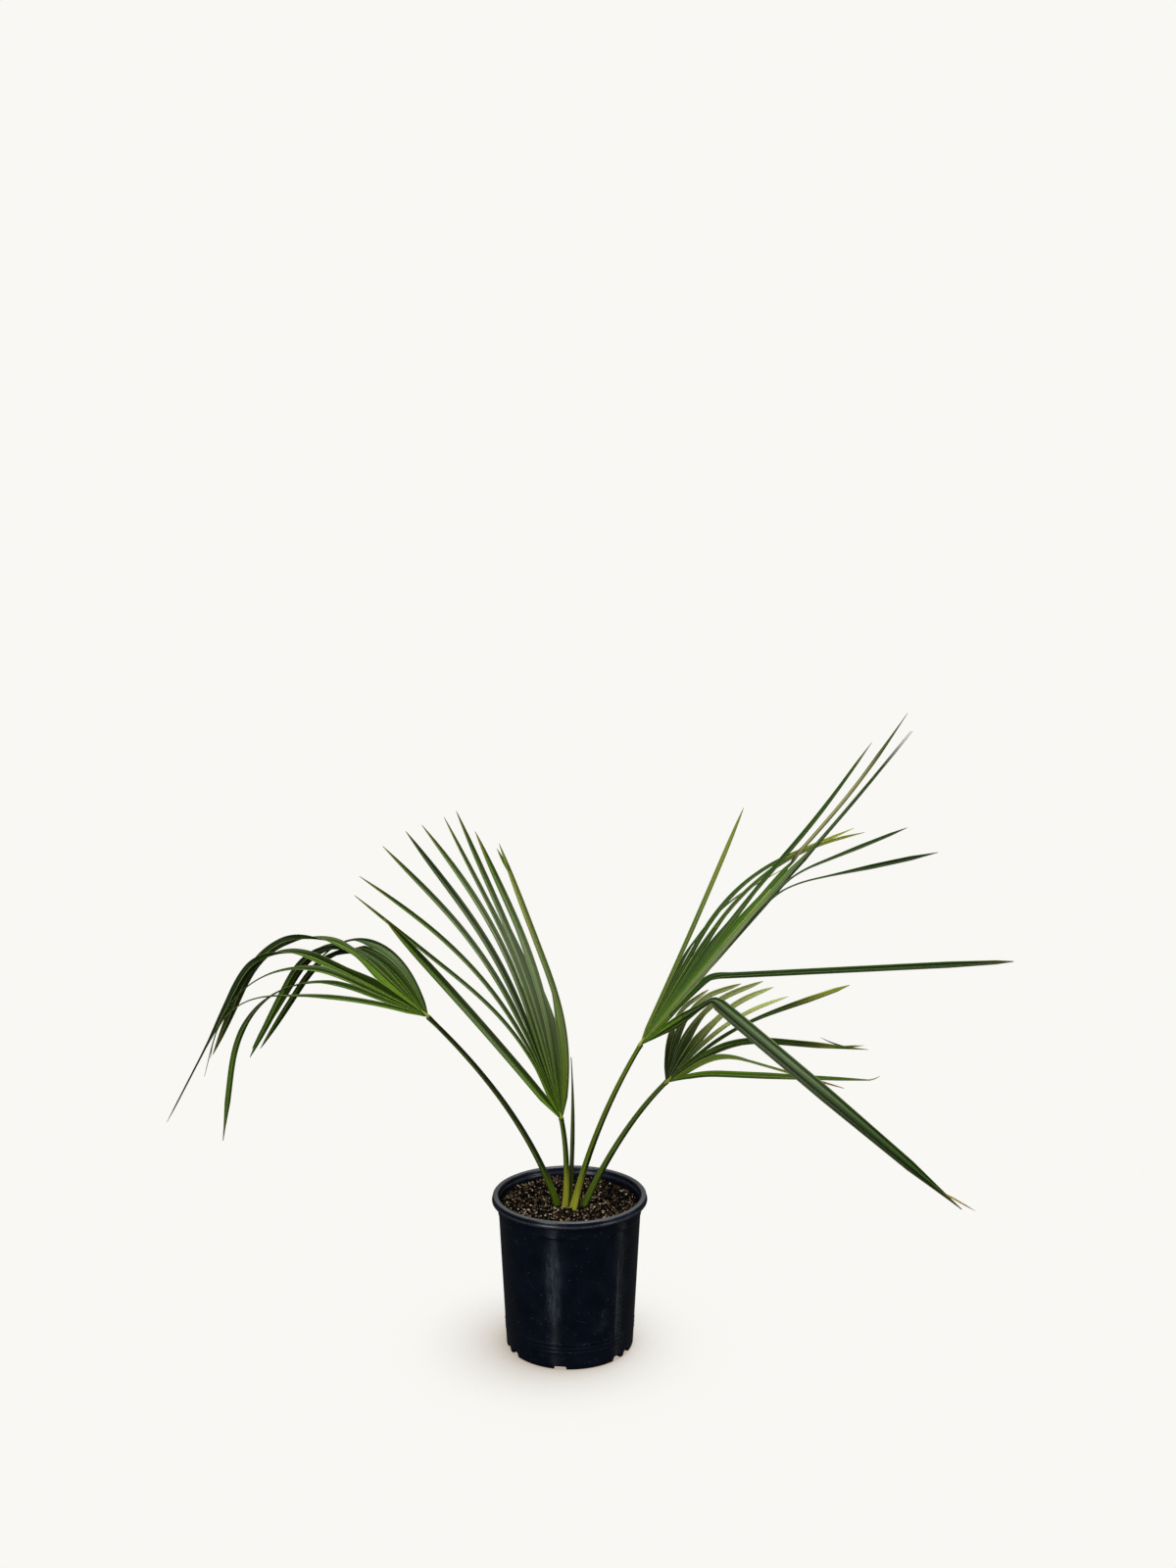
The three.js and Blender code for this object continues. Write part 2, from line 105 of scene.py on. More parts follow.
# Potting mix. Its lumps are heights, seeds and how many there are to a metre.
SOIL_HEIGHT = 188
SOIL_BOTTOM = 8
SOIL_RAISED = 0.6
SOIL_LUMPS = ((3.4, 0.3, 38), (1.3, 1.7, 95), (0.8, 4.1, 260))
SOIL_TILT = (-0.022, -0.012)
SOIL_RINGS = 70
SOIL_SIDES = 220
BITS_REACH = 85.5

# The blade rule, the same as that of the solids
RIB_SAMPLES = 120
FLAT_NEAR_HASTULA = 45
FOLD_SHARE = 0.32
FOLD_MOST = 3.2
NEIGHBOUR_SHARE = 0.46
EDGE_BLEND = 40
OUTER_EDGE_START = 0.5
OUTER_EDGE_SLOPE = 0.12

# Finer detail of the blades
BLADE_START = 4
STATION = 4
COLUMNS = 17
TIP_WIDTH = 0.3
FULLNESS = 1.06
TAPER_FROM = 0.5
TAPER_POWER = 5
# The spread, in shares of the reach, and the colour of a painted pale highlight on the segments.
PAINTED_SHEEN_SPAN = 0.26
PAINTED_SHEEN = (154, 168, 134)
SLIT_OPENING = 12
LEAF_THICKNESS = 0.75
LAMINA_SHARE = 0.45

# Limbs
STALK_SUNK = 4
STALK_POINTS = 90
STALK_END = 6.6 * 0.6
KNOB_POINTS = 24
SPEAR_POINTS = 80
LIMB_END = 0.05
# The way the light falls for the painted lit and shaded sides of the limbs.
PAINTED_LIGHT_SIDE = np.array([-0.9, -0.4, -0.15])
SPEAR = dict(foot=(0, -6), middle=(4, 0, 292), tip=(2, 4, 379), radii=(2.8, 0.6))

DEEP, MID, BRIGHT, PALE, TIPPED, OLIVE, DRY, DUSK, FADED, HUNG = range(10)


def leaf(turn, rise, fall, bend, reach, joined, kind, **more):
    """A leaf segment's row of the table."""
    return dict(turn=turn, rise=rise, fall=fall, bend=bend, reach=reach, joined=joined, kind=kind, **more)


# Each frond is a fan of leaf segments, in millimetres and degrees. A rib keeps to the upright plane of its
# turn, leaves the hastula at the slope rise, sags evenly and bends to the slope fall between two shares of
# its reach. twist gives the extra roll of the segment at shares of its reach, girth its width there,
# lit how much lighter one half is painted than the other, as painted light and shade, and
# sheen the strength and place of a painted pale highlight. kind is the segment's colouring, or the
# shares of its reach where each begins. A sliver is a strip torn from its parent.
FRONDS = dict(
    left=dict(
        hastula=(-178, -10, 435), foot=(-14, -14), lean=(-54, -12, 314), radii=(4.6, 2.9),
        width=11, lit=0.25, segments=[
        leaf(206, 24, -82, (0.6, 1), 322, 60, MID, sag=30, width=8, twist=((0.42, 0), (0.62, 44), (1, 50)),
             girth=((0, 9), (0.3, 8), (0.5, 6.5), (0.62, 4), (0.72, 3), (0.9, 2.6), (1, 0.5))),
        leaf(200, 26, -82, (0.2, 0.82), 404, 105, ((0, HUNG), (0.95, DRY)),
             twist=((0.32, 0), (0.46, 60), (0.57, 140), (1, 135)), girth=((0, 9), (0.3, 8), (0.4, 5.5),
                    (0.48, 3), (0.54, 3.4), (0.66, 7.5), (0.88, 7), (0.96, 2.4), (1, 0.8))),
        leaf(194, 29, -76, (0.25, 0.95), 370, 145, MID, twist=((0.42, 0), (0.6, 44), (1, 44)),
             girth=((0, 9), (0.35, 9), (0.48, 7), (0.58, 4), (0.68, 3), (0.9, 3.6), (1, 0.5))),
        leaf(188, 34, -62, (0.32, 0.6), 470, 80, ((0, MID), (0.5, DEEP)), sag=20, lit=0.6,
             twist=((0.34, 0), (0.44, 58), (0.53, 140), (0.68, 138), (0.8, 82), (1, 78)),
             girth=((0, 9), (0.2, 12), (0.6, 12), (0.68, 8), (0.75, 4.4), (0.95, 3.2), (1, 0.5))),
        leaf(182, 44, -66, (0.22, 0.8), 394, 120, ((0, MID), (0.5, DEEP)),
             twist=((0.37, 0), (0.46, 58), (0.55, 132), (1, 125))),
        leaf(173, 46, -62, (0.2, 0.7), 348, 130, HUNG, width=9,
             twist=((0.3, 0), (0.45, 40), (0.6, 72), (1, 72)), lit=0.6),
        leaf(166, 49, -58, (0.16, 0.7), 350, 130, HUNG, width=9,
             twist=((0.3, 0), (0.45, 40), (0.6, 58), (1, 58)), lit=0.6),
        leaf(159, 52, -55, (0.08, 0.7), 346, 120, HUNG, width=8,
             twist=((0.35, 0), (0.5, 60), (0.62, 80), (1, 80)), lit=0.8),
        leaf(152, 68, -54, (0, 0.8), 330, 0, DEEP, width=5, lit=1, twist=((0.3, 0), (0.5, 40), (1, 45)),
             sheen=(0.2, 0.3)),
    ]),
    upright=dict(
        hastula=(-10, 0, 297), foot=(-6, -20), lean=(0, -8, 250), radii=(4.2, 3),
        width=11, flare=0.12, lit=0.8, segments=[
        leaf(205, 52, 49.4, (0, 1), 367, 40, MID, width=10.5, lit=1, sheen=(0.4, 0.45)),
        leaf(200, 67, 41.5, (0, 0.65), 412, 80, MID, width=5, sheen=(0.35, 0.5)),
        leaf(196, 68, 37, (0, 1), 423, 100, MID, width=6.5, sheen=(0.45, 0.5)),
        leaf(192, 70, 47, (0.2, 0.9), 430, 120, MID, sag=10, width=8, sheen=(0.7, 0.6)),
        leaf(187, 71, 54, (0.2, 0.85), 427, 140, DEEP, width=9, sheen=(0.45, 0.6), lit=1),
        leaf(182, 74, 53, (0.2, 1), 424, 172, MID, width=8, sheen=(0.8, 0.6)),
        leaf(176, 77, 63, (0.1, 0.8), 419, 260, MID, width=7, sheen=(0.88, 0.55)),
        leaf(170, 79, 66, (0.1, 0.7), 420, 215, MID, width=8, sheen=(0.9, 0.5), lit=1),
        leaf(162, 83, 64, (0.1, 0.8), 389, 128, MID, width=8.5, sheen=(0.8, 0.5)),
        leaf(152, 98, 66, (0, 0.6), 370, 0, OLIVE, width=8, sheen=(0.3, 0.6)),
    ], slivers=[
        dict(parent=10, start=0.9, shift=1.2, turn=152, rise=58, reach=33, width=4, kind=MID),
    ]),
    high=dict(
        hastula=(90, 5, 394), foot=(3, -31), lean=(30, -12, 297), radii=(5.2, 3.2),
        width=11, flare=0.3, lit=0.2, segments=[
        leaf(41, 56, 58.4, (0, 1), 343, 125, OLIVE, width=6),
        leaf(38, 55, 16, (0.24, 0.9), 336, 110, TIPPED, width=3.5,
             twist=((0.34, 0), (0.46, -50), (1, -50))),
        leaf(34.5, 53.5, 12.6, (0.25, 0.8), 462, 135, TIPPED, twist=((0.6, 0), (0.8, 35), (1, 35)),
             girth=((0, 7), (0.5, 7), (0.8, 4.6), (0.92, 4), (1, 0.5))),
        leaf(29, 52, 6, (0.25, 1), 452, 158, ((0, DEEP), (0.4, TIPPED)),
             twist=((0.6, 0), (0.8, 50), (1, 50)), girth=((0, 7), (0.5, 7), (0.8, 5), (0.92, 4), (1, 0.5))),
        leaf(21, 52.6, 50.4, (0.6, 1), 500, 205, DEEP, sag=12, twist=((0.5, 0), (0.7, 25), (1, 25)),
             girth=((0, 9), (0.5, 9), (0.62, 8), (0.8, 6), (0.93, 4), (1, 0.5))),
        leaf(14, 51, 54, (0.6, 1), 550, 290, BRIGHT, sag=8,
             twist=((0.53, 0), (0.61, -95), (0.7, -115), (1, -125)),
             girth=((0, 9), (0.5, 9), (0.6, 5), (0.7, 5), (0.88, 4.8), (1, 0.5))),
        leaf(8, 50, 50, (0.5, 1), 528, 300, DUSK, sag=5, sheen=(0.25, 0.4),
             girth=((0, 8), (0.5, 8), (0.65, 6), (0.8, 5), (0.93, 3), (1, 0.4))),
        leaf(3, 51, 51, (0.5, 1), 526, 250, FADED, sag=6, sheen=(0.55, 0.35),
             girth=((0, 8), (0.5, 8), (0.65, 6), (0.8, 4.6), (0.93, 2.8), (1, 0.4))),
        leaf(-3, 50, 23, (0.55, 0.75), 445, 235, FADED, width=7, sheen=(0.5, 0.35),
             twist=((0.5, 0), (0.72, 40), (1, 48)),
             girth=((0, 7), (0.3, 8), (0.52, 6), (0.6, 3.6), (0.7, 4), (0.86, 7), (0.95, 5), (1, 0.6))),
        leaf(-9, 51, 14, (0.45, 0.7), 468, 118, FADED, width=7, sheen=(0.5, 0.3),
             twist=((0.4, 0), (0.54, -48), (0.7, -40), (0.88, 10), (1, 10)), girth=((0, 7), (0.3, 8),
                    (0.45, 4.5), (0.52, 3), (0.68, 3.6), (0.82, 6.5), (0.93, 5.6), (1, 0.6))),
        leaf(-17, 47, 7, (0.225, 0.3), 500, 40, ((0, MID), (0.12, DEEP)), width=9, lit=0.7,
             twist=((0.1, 0), (0.22, -30), (0.3, 0), (1, 20)),
             girth=((0, 9), (0.12, 8), (0.22, 5), (0.27, 8.5), (0.85, 8), (0.96, 5), (1, 1))),
        leaf(-27, 36, -34, (0.232, 0.252), 504, 0, ((0, MID), (0.15, DEEP)), width=20, pleats=2, lit=0.3,
             sheen=(0.35, 0.45), twist=((0.02, 0), (0.06, 40), (0.13, 40), (0.2, 0), (1, 0)), girth=((0, 9),
                    (0.05, 15), (0.12, 15), (0.2, 8), (0.235, 7), (0.262, 17), (0.32, 18.5), (0.6, 18.4),
                    (0.85, 13), (0.97, 3), (1, 1))),
    ], slivers=[
        dict(parent=12, start=0.955, shift=2, turn=-27, rise=-22, reach=36, width=2, kind=DRY),
    ]),
    low=dict(
        hastula=(124, 10, 343), foot=(15, -20), lean=(66, -2, 291), radii=(4.6, 2.9),
        width=8, lit=0.2, segments=[
        leaf(60, 95, 5, (0, 0.75), 184, 62, PALE, width=6),
        leaf(50, 72, 0, (0.05, 0.8), 217, 58, PALE, width=6.5),
        leaf(42, 62, 5, (0, 0.85), 224, 66, PALE, width=7),
        leaf(34, 42, 8, (0.3, 0.95), 209, 70, PALE, width=7),
        leaf(27, 40, 9, (0.1, 1), 211, 42, PALE, width=6),
        leaf(20, 38, 13, (0, 0.7), 287, 60, TIPPED, twist=((0.4, 0), (0.7, 35), (1, 40)),
             girth=((0, 9), (0.35, 7), (0.5, 6), (0.78, 8), (0.93, 6), (1, 0.8))),
        leaf(10, 40, -8, (0, 0.6), 285, 72, TIPPED, twist=((0.2, 0), (0.45, 45), (1, 48)),
             girth=((0, 8), (0.3, 9), (0.75, 8), (0.9, 3.5), (1, 0.6))),
        leaf(2, 29, -17, (0.14, 0.5), 243, 30, ((0, OLIVE), (0.78, DRY)), width=3.4),
        leaf(-8, 22, 0, (0, 0.3), 260, 0, MID, width=9, girth=((0, 9), (0.5, 9), (0.85, 5), (1, 1.6))),
    ], slivers=[
        dict(parent=7, start=0.84, shift=-1.2, turn=10, rise=1, reach=40, width=3.4, kind=TIPPED),
        dict(parent=7, start=0.9, shift=1.5, turn=190, rise=16, fall=28, reach=40, width=2.6, kind=DEEP),
        dict(parent=9, start=0.98, shift=0, turn=-8, rise=4, fall=34, reach=18, width=1.6, kind=DRY),
    ]),
)


def linear(*shade):
    """A colour given in steps of 255 as a screen shows it, as the light it reflects."""
    parts = [part / 255 for part in shade]
    return tuple(p / 12.92 if p <= 0.04045 else ((p + 0.055) / 1.055) ** 2.4 for p in parts) + (1,)


def smoothstep(value, low, high):
    share = np.clip((value - low) / max(high - low, 1e-9), 0, 1)
    return share * share * (3 - 2 * share)


def unit(vectors):
    return vectors / np.linalg.norm(vectors, axis=-1, keepdims=True)


# Node trees

def sum_of(operation, swapped=False):
    def made(self, other):
        return self.wiring.sum(operation, *((other, self) if swapped else (self, other)))
    return made


class Value:
    """What a socket gives. Sums and comparisons with it place the nodes that work them out."""

    def __init__(self, wiring, socket):
        self.wiring, self.socket = wiring, socket

    __add__ = __radd__ = sum_of("ADD")
    __mul__ = __rmul__ = sum_of("MULTIPLY")
    __sub__, __rsub__ = sum_of("SUBTRACT"), sum_of("SUBTRACT", True)
    __truediv__, __rtruediv__ = sum_of("DIVIDE"), sum_of("DIVIDE", True)
    __gt__, __lt__ = sum_of("GREATER_THAN"), sum_of("LESS_THAN")

    def __abs__(self):
        return self.wiring.math("ABSOLUTE", self)

    def beside(self, name):
        """Another output of the same node."""
        return Value(self.wiring, self.socket.node.outputs[name])

    def is_place(self):
        return self.socket.type in ("VECTOR", "RGBA")


class Wiring:
    """Places nodes in a tree and joins their sockets."""

    def __init__(self, tree):
        self.tree = tree

    def feed(self, socket, value):
        if isinstance(value, Value):
            self.tree.links.new(value.socket, socket)
        else:
            socket.default_value = value

    def node(self, kind, feeds=(), gives=0, **settings):
        made = self.tree.nodes.new(kind)
        for name, value in settings.items():
            setattr(made, name, value)
        for key, value in dict(feeds).items():
            self.feed(made.inputs[key], value)
        return Value(self, made.outputs[gives])

    def given(self, name):
        return Value(self, self.start.outputs[name])

    def give(self, value, name=0):
        self.feed(self.end.inputs[name], value)

    def math(self, operation, *values):
        return self.node("ShaderNodeMath", enumerate(values), operation=operation)

    def sum(self, operation, first, second):
        """A sum of two numbers or two places, or a place scaled by a number."""
        places = [isinstance(v, tuple) or isinstance(v, Value) and v.is_place() for v in (first, second)]
        if not any(places):
            return self.math(operation, first, second)
        scaled = operation == "MULTIPLY" and not all(places)
        return self.node("ShaderNodeVectorMath", {0: first, 3 if scaled else 1: second},
                         operation="SCALE" if scaled else operation)

    def length(self, place):
        return self.node("ShaderNodeVectorMath", {0: place}, "Value", operation="LENGTH")

    def combine(self, *parts):
        return self.node("ShaderNodeCombineXYZ", enumerate(parts))

    def place(self):
        return self.node("ShaderNodeTexCoord", gives="Object")

    def noise(self, place, scale, detail, roughness=0.5):
        return self.node("ShaderNodeTexNoise", {0: place, 2: scale, 3: detail, 4: roughness})

    def ramp(self, value, low, high, to_low=0, to_high=1):
        return self.node("ShaderNodeMapRange", enumerate((value, low, high, to_low, to_high)),
                         interpolation_type="SMOOTHSTEP")

    def blend(self, share, low, high, mode="MIX"):
        """A colour between two, each a value, light, or three steps of 255."""
        low, high = (linear(*c) if isinstance(c, tuple) and len(c) == 3 else c for c in (low, high))
        return self.node("ShaderNodeMix", {0: share, 6: low, 7: high}, 2, data_type="RGBA", blend_type=mode)

    def layered(self, body, *layers):
        """A colour under others, each as strong as its share."""
        for share, colour in layers:
            body = self.blend(share, body, colour)
        return body

    def times(self, body, red, green=None, blue=None):
        return self.blend(1, body, (red, green or red, blue or red, 1), "MULTIPLY")

    def group(self, tree, **feeds):
        feeds = {words.replace("_", " "): value for words, value in feeds.items()}
        return self.node("ShaderNodeGroup", feeds, node_tree=tree)

    def kept(self, name):
        """A value that a mesh keeps, in a material."""
        return self.node("ShaderNodeAttribute", gives="Fac", attribute_name=name)

    def named(self, name, kind="FLOAT"):
        """A value that a mesh keeps, in a geometry tree."""
        return self.node("GeometryNodeInputNamedAttribute", {0: name}, data_type=kind)

    def bump(self, strength, height, relief):
        return self.node("ShaderNodeBump", {"Strength": strength, "Distance": height * MM, "Height": relief})


class Finish(Wiring):
    """A material's wiring, up to its main shader."""

    def __init__(self, name, **looks):
        self.material = bpy.data.materials.new(name)
        self.material.use_nodes = True
        super().__init__(self.material.node_tree)
        self.show(**looks)

    def show(self, **looks):
        """Sets or feeds the main shader's sockets. The words of a socket's name are joined by _."""
        shader = self.tree.nodes["Principled BSDF"]
        for words, value in looks.items():
            self.feed(shader.inputs[words.replace("_", " ")], value)
        return self.material


def new_tree(name, outputs=(), **sizes):
    """The wiring of a group of shader nodes with these outputs, or with none of a geometry tree. Each size has
    its plain value, and the words of its name are joined by _."""
    w = Wiring(bpy.data.node_groups.new(name, "ShaderNodeTree" if outputs else "GeometryNodeTree"))
    sockets = [(output, "OUTPUT", "Float", None) for output in outputs]
    if not outputs:
        sockets = [("Geometry", way, "Geometry", None) for way in ("INPUT", "OUTPUT")]
    kinds = {int: "Int", float: "Float", tuple: "Vector"}
    sockets += [(words.replace("_", " "), "INPUT", kinds[type(v)], v) for words, v in sizes.items()]
    for label, way, kind, value in sockets:
        made = w.tree.interface.new_socket(name=label, in_out=way, socket_type="NodeSocket" + kind)
        if value is not None:
            made.default_value = value
    w.start, w.end = (w.tree.nodes.new("NodeGroup" + way) for way in ("Input", "Output"))
    return w


# Pieces

def object_of(name, mesh):
    made = bpy.data.objects.new(name, mesh)
    bpy.context.scene.collection.objects.link(made)
    return made


def mesh_of(name, points, faces):
    mesh = bpy.data.meshes.new(name)
    mesh.from_pydata(points, [], faces)
    return mesh


def drop_empty_slots(mesh):
    """Takes out a mesh's material slots that hold nothing."""
    slots = list(mesh.materials)
    kept = [material for material in slots if material]
    if len(kept) == len(slots):
        return
    renumbered = np.array([kept.index(material) if material else 0 for material in slots], np.int32)
    numbers = np.zeros(len(mesh.polygons), np.int32)
    mesh.polygons.foreach_get("material_index", numbers)
    mesh.materials.clear()
    for material in kept:
        mesh.materials.append(material)
    mesh.polygons.foreach_set("material_index", renumbered[numbers])


def settle(piece):
    """Turns a piece's modifiers into its own plain mesh."""
    ready = bpy.context.evaluated_depsgraph_get()
    mesh = bpy.data.meshes.new_from_object(piece.evaluated_get(ready), preserve_all_data_layers=True,
                                           depsgraph=ready)
    drop_empty_slots(mesh)
    piece.modifiers.clear()
    piece.data = mesh
    return piece


def through_nodes(name, mesh, tree, **sizes):
    """A new piece whose mesh is what the tree makes of a starting mesh. A size's words are joined by _."""
    piece = object_of(name, mesh)
    modifier = piece.modifiers.new("shape", "NODES")
    modifier.node_group = tree
    sockets = {item.name: item.identifier for item in tree.interface.items_tree if item.in_out == "INPUT"}
    for words, value in sizes.items():
        modifier[sockets[words.replace("_", " ")]] = value
    return settle(piece)


def table_mesh(name, columns):
    """A mesh of loose points that holds one row of a table at each point."""
    mesh = bpy.data.meshes.new(name)
    mesh.vertices.add(len(columns["middle"]))
    mesh.vertices.foreach_set("co", np.asarray(columns["middle"], np.float32).ravel())
    for key, values in columns.items():
        values = np.asarray(values, np.float32)
        kind, field = (VECTOR, "vector") if values.ndim == 2 else ("FLOAT", "value")
        mesh.attributes.new(key, kind, "POINT").data.foreach_set(field, values.ravel())
    return mesh


def place_piece(piece, slot, *nodes):
    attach(piece, "root")
    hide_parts(*nodes)


# Leaf segments

class Rib:
    """A leaf segment's rib: its points and directions at any distance from the hastula."""

    def __init__(self, frond, segment, start=None):
        self.reach = segment["reach"]
        self.joined = segment.get("joined", 0)
        self.width = segment.get("width", frond["width"])
        self.segment = segment
        turn = math.radians(segment["turn"])
        self.outward = np.array([math.cos(turn), math.sin(turn), 0])
        self.across = np.array([-math.sin(turn), math.cos(turn), 0])
        step = self.reach / RIB_SAMPLES
        start = np.array(frond["hastula"], float) if start is None else start
        steps = np.cumsum(self.direction((np.arange(RIB_SAMPLES) + 0.5) * step) * step, axis=0)
        self.places = np.linspace(0, self.reach, RIB_SAMPLES + 1)
        self.samples = np.vstack([start, start + steps])

    def direction(self, distance):
        rise = self.segment["rise"]
        share = np.atleast_1d(distance) / self.reach
        eased = smoothstep(share, *self.segment.get("bend", (0, 1)))
        sagged = rise - self.segment.get("sag", 0) * share * (1 - eased)
        slope = np.radians(sagged + (self.segment.get("fall", rise) - sagged) * eased)
        return np.cos(slope)[:, None] * self.outward + np.sin(slope)[:, None] * np.array([0, 0, 1])

    def point(self, distance):
        distance = np.atleast_1d(distance)
        return np.stack([np.interp(distance, self.places, axis) for axis in self.samples.T], 1)

    def half_width(self, distance):
        share = distance / self.reach
        if "girth" in self.segment:
            return np.interp(share, *zip(*self.segment["girth"])) / 2
        full = self.width / 2 * FULLNESS
        taper = np.clip((share - TAPER_FROM) / (1 - TAPER_FROM), 0, 1) ** TAPER_POWER
        return TIP_WIDTH + (full - TIP_WIDTH) * (1 - taper)


def roll_of(ribs, index):
    """The tilt of a segment across its rib, from the places of its neighbours where it parts from them."""
    before = ribs[max(index - 1, 0)]
    after = ribs[min(index + 1, len(ribs) - 1)]
    rib = ribs[index]
    parting = min(max(rib.joined, before.joined), rib.reach)
    spread = (before.point(parting) - after.point(parting))[0]
    up = np.cross(rib.direction(parting)[0], rib.across)
    return math.atan2(spread @ up, spread @ rib.across)


def spacing(ribs, index, other, distance):
    return np.linalg.norm(ribs[index].point(distance) - ribs[other].point(distance), axis=1)


def free_half_width(ribs, index, other, joined, distance):
    """Half width of a segment's free side, from its joined width to its own, and never onto its neighbour."""
    natural = ribs[index].half_width(distance)
    if not 0 <= other < len(ribs):
        return np.minimum(natural, OUTER_EDGE_START + OUTER_EDGE_SLOPE * distance)
    joined_half = spacing(ribs, index, other, joined)[0] / 2
    blend = np.clip((distance - joined) / EDGE_BLEND, 0, 1)
    opening = np.clip((distance - joined) / SLIT_OPENING, 0, 1)
    most = (0.5 + (NEIGHBOUR_SHARE - 0.5) * opening) * spacing(ribs, index, other, distance)
    return np.minimum(joined_half + (natural - joined_half) * blend, most)


def edge_of(ribs, index, other, joined, distance, middle, outwards, up):
    """A segment's edge: half way to its neighbour where the two are joined, and its own beyond."""
    half = free_half_width(ribs, index, other, joined, distance)
    edge = middle + outwards * half[:, None]
    if 0 <= other < len(ribs):
        seam = (middle + ribs[other].point(distance)) / 2
        last = max(np.searchsorted(distance, joined, side="right") - 1, 0)
        rise = (seam[last] - middle[last]) @ up[last]
        edge += up * (rise * (1 - smoothstep(distance, joined, joined + EDGE_BLEND)))[:, None]
        shared = distance <= joined
        edge[shared] = seam[shared]
    return edge


def own_frame(rib, distance, roll):
    """The way along a segment and the way across it, with its roll."""
    along = rib.direction(distance)
    level_up = np.cross(along, rib.across)
    return along, rib.across * np.cos(roll)[:, None] + level_up * np.sin(roll)[:, None]


def stations(first, reach):
    count = max(int(round((reach - first) / STATION)), 8) + 1
    distance = first + STATION * np.arange(count, dtype=float)
    distance[-1] = reach
    return np.minimum(distance, reach)


def rows_of(middle, left, right, up, distance, reach, number, tone, segment, frond):
    """A segment's rows of the table."""
    share = distance / reach
    breadth = np.linalg.norm(left - middle, axis=1) + np.linalg.norm(right - middle, axis=1)
    amount, centre = segment.get("sheen", (0, 0.5))
    kinds = segment["kind"] if isinstance(segment["kind"], tuple) else ((0, segment["kind"]),)
    kind = np.zeros(len(share))
    for begins, colouring in kinds:
        kind[share >= begins] = colouring
    plain = dict(tone=tone, pleats=segment.get("pleats", 1), lit=segment.get("lit", frond["lit"]), segment=number)
    rows = {key: np.full(len(share), float(value)) for key, value in plain.items()}
    return {**rows, "kind": kind, "middle": middle * MM, "left": left * MM, "right": right * MM, "up": up,
            "share": share, "along": distance * MM, "body": 1 - 0.6 * share,
            "fold": np.minimum(FOLD_MOST, FOLD_SHARE * breadth) * MM,
            "sheen": amount * np.exp(-((share - centre) / PAINTED_SHEEN_SPAN) ** 2)}


def sliver_rows(ribs, rolls, sliver, number, tone, frond):
    """Rows of a torn strip that starts a little way off its segment's rib."""
    parent, roll = ribs[sliver["parent"] - 1], rolls[sliver["parent"] - 1]
    at = np.array([sliver["start"] * parent.reach])
    _, cross = own_frame(parent, at, np.array([roll]))
    rib = Rib(frond, sliver, parent.point(at)[0] + cross[0] * sliver["shift"])
    distance = stations(0, rib.reach)
    along, cross = own_frame(rib, distance, np.full(len(distance), roll))
    half = rib.width / 2 * np.sin(math.pi * (0.25 + 0.75 * distance / rib.reach)) + 0.1
    middle, aside = rib.point(distance), cross * half[:, None]
    return rows_of(middle, middle + aside, middle - aside, np.cross(along, cross), distance, rib.reach, number,
                   tone, sliver, frond)


def fan_ways(ribs):
    """The way a fan points and the way up from its middle."""
    first, last = ribs[0].direction(0)[0], ribs[-1].direction(0)[0]
    direction = unit(sum(rib.direction(0)[0] for rib in ribs))
    return direction, unit(np.cross(direction, unit(first - last)))


def ribs_of(frond):
    return [Rib(frond, segment) for segment in frond["segments"]]


def frond_rows(frond, seed):
    """One row for each station of each leaf segment: its middle, its two edges and its way up."""
    ribs = ribs_of(frond)
    rolls = [roll_of(ribs, index) for index in range(len(ribs))]
    slivers = frond.get("slivers", [])
    tones = np.random.default_rng(seed).random(len(ribs) + len(slivers))
    _, mean_up = fan_ways(ribs)
    parts = []
    for index, rib in enumerate(ribs):
        distance = stations(BLADE_START, rib.reach)
        roll = np.full(len(distance), rolls[index])
        if "twist" in rib.segment:
            roll += np.radians(np.interp(distance / rib.reach, *zip(*rib.segment["twist"])))
        middle = rib.point(distance)
        along, cross = own_frame(rib, distance, roll)
        ease = smoothstep(distance, BLADE_START, FLAT_NEAR_HASTULA)[:, None]
        up = unit(mean_up * (1 - ease) + np.cross(along, cross) * ease)
        before_joined = ribs[index - 1].joined if index else 0
        left = edge_of(ribs, index, index - 1, before_joined, distance, middle, cross, up)
        right = edge_of(ribs, index, index + 1, rib.joined, distance, middle, -cross, up)
        parts.append(rows_of(middle, left, right, up, distance, rib.reach, index, tones[index], rib.segment,
                             frond))
    for number, sliver in enumerate(slivers, len(ribs)):
        parts.append(sliver_rows(ribs, rolls, sliver, number, tones[number], frond))
    return {key: np.concatenate([part[key] for part in parts]) for key in parts[0]}


def grid_over(w, columns):
    """A grid with a row of faces between neighbouring rows of the table, its column numbers, and what reads a
    named column of the table."""
    table = w.given("Geometry")
    count = w.node("GeometryNodeAttributeDomainSize", {0: table})
    grid = w.node("GeometryNodeMeshGrid", {0: 1.0, 1: 1.0, 2: count, 3: columns})
    index = w.node("GeometryNodeInputIndex")
    row, column = (w.node("FunctionNodeIntegerMath", {0: index, 1: columns}, operation=operation)
                   for operation in ("DIVIDE_FLOOR", "MODULO"))

    def read(name, kind="FLOAT"):
        return w.node("GeometryNodeSampleIndex", {0: table, 1: w.named(name, kind), 2: row}, data_type=kind,
                      domain="POINT")
    return grid, column, read


def keep(w, geometry, domain, **values):
    """Keeps values under their names. One kept at the corners of faces takes each corner's own point."""
    for name, value in values.items():
        if domain == "CORNER":
            value = w.node("GeometryNodeFieldOnDomain", {0: value}, domain="POINT", data_type="FLOAT")
        geometry = w.node("GeometryNodeStoreNamedAttribute", {0: geometry, 2: name, 3: value},
                          data_type="FLOAT", domain=domain)
    return geometry


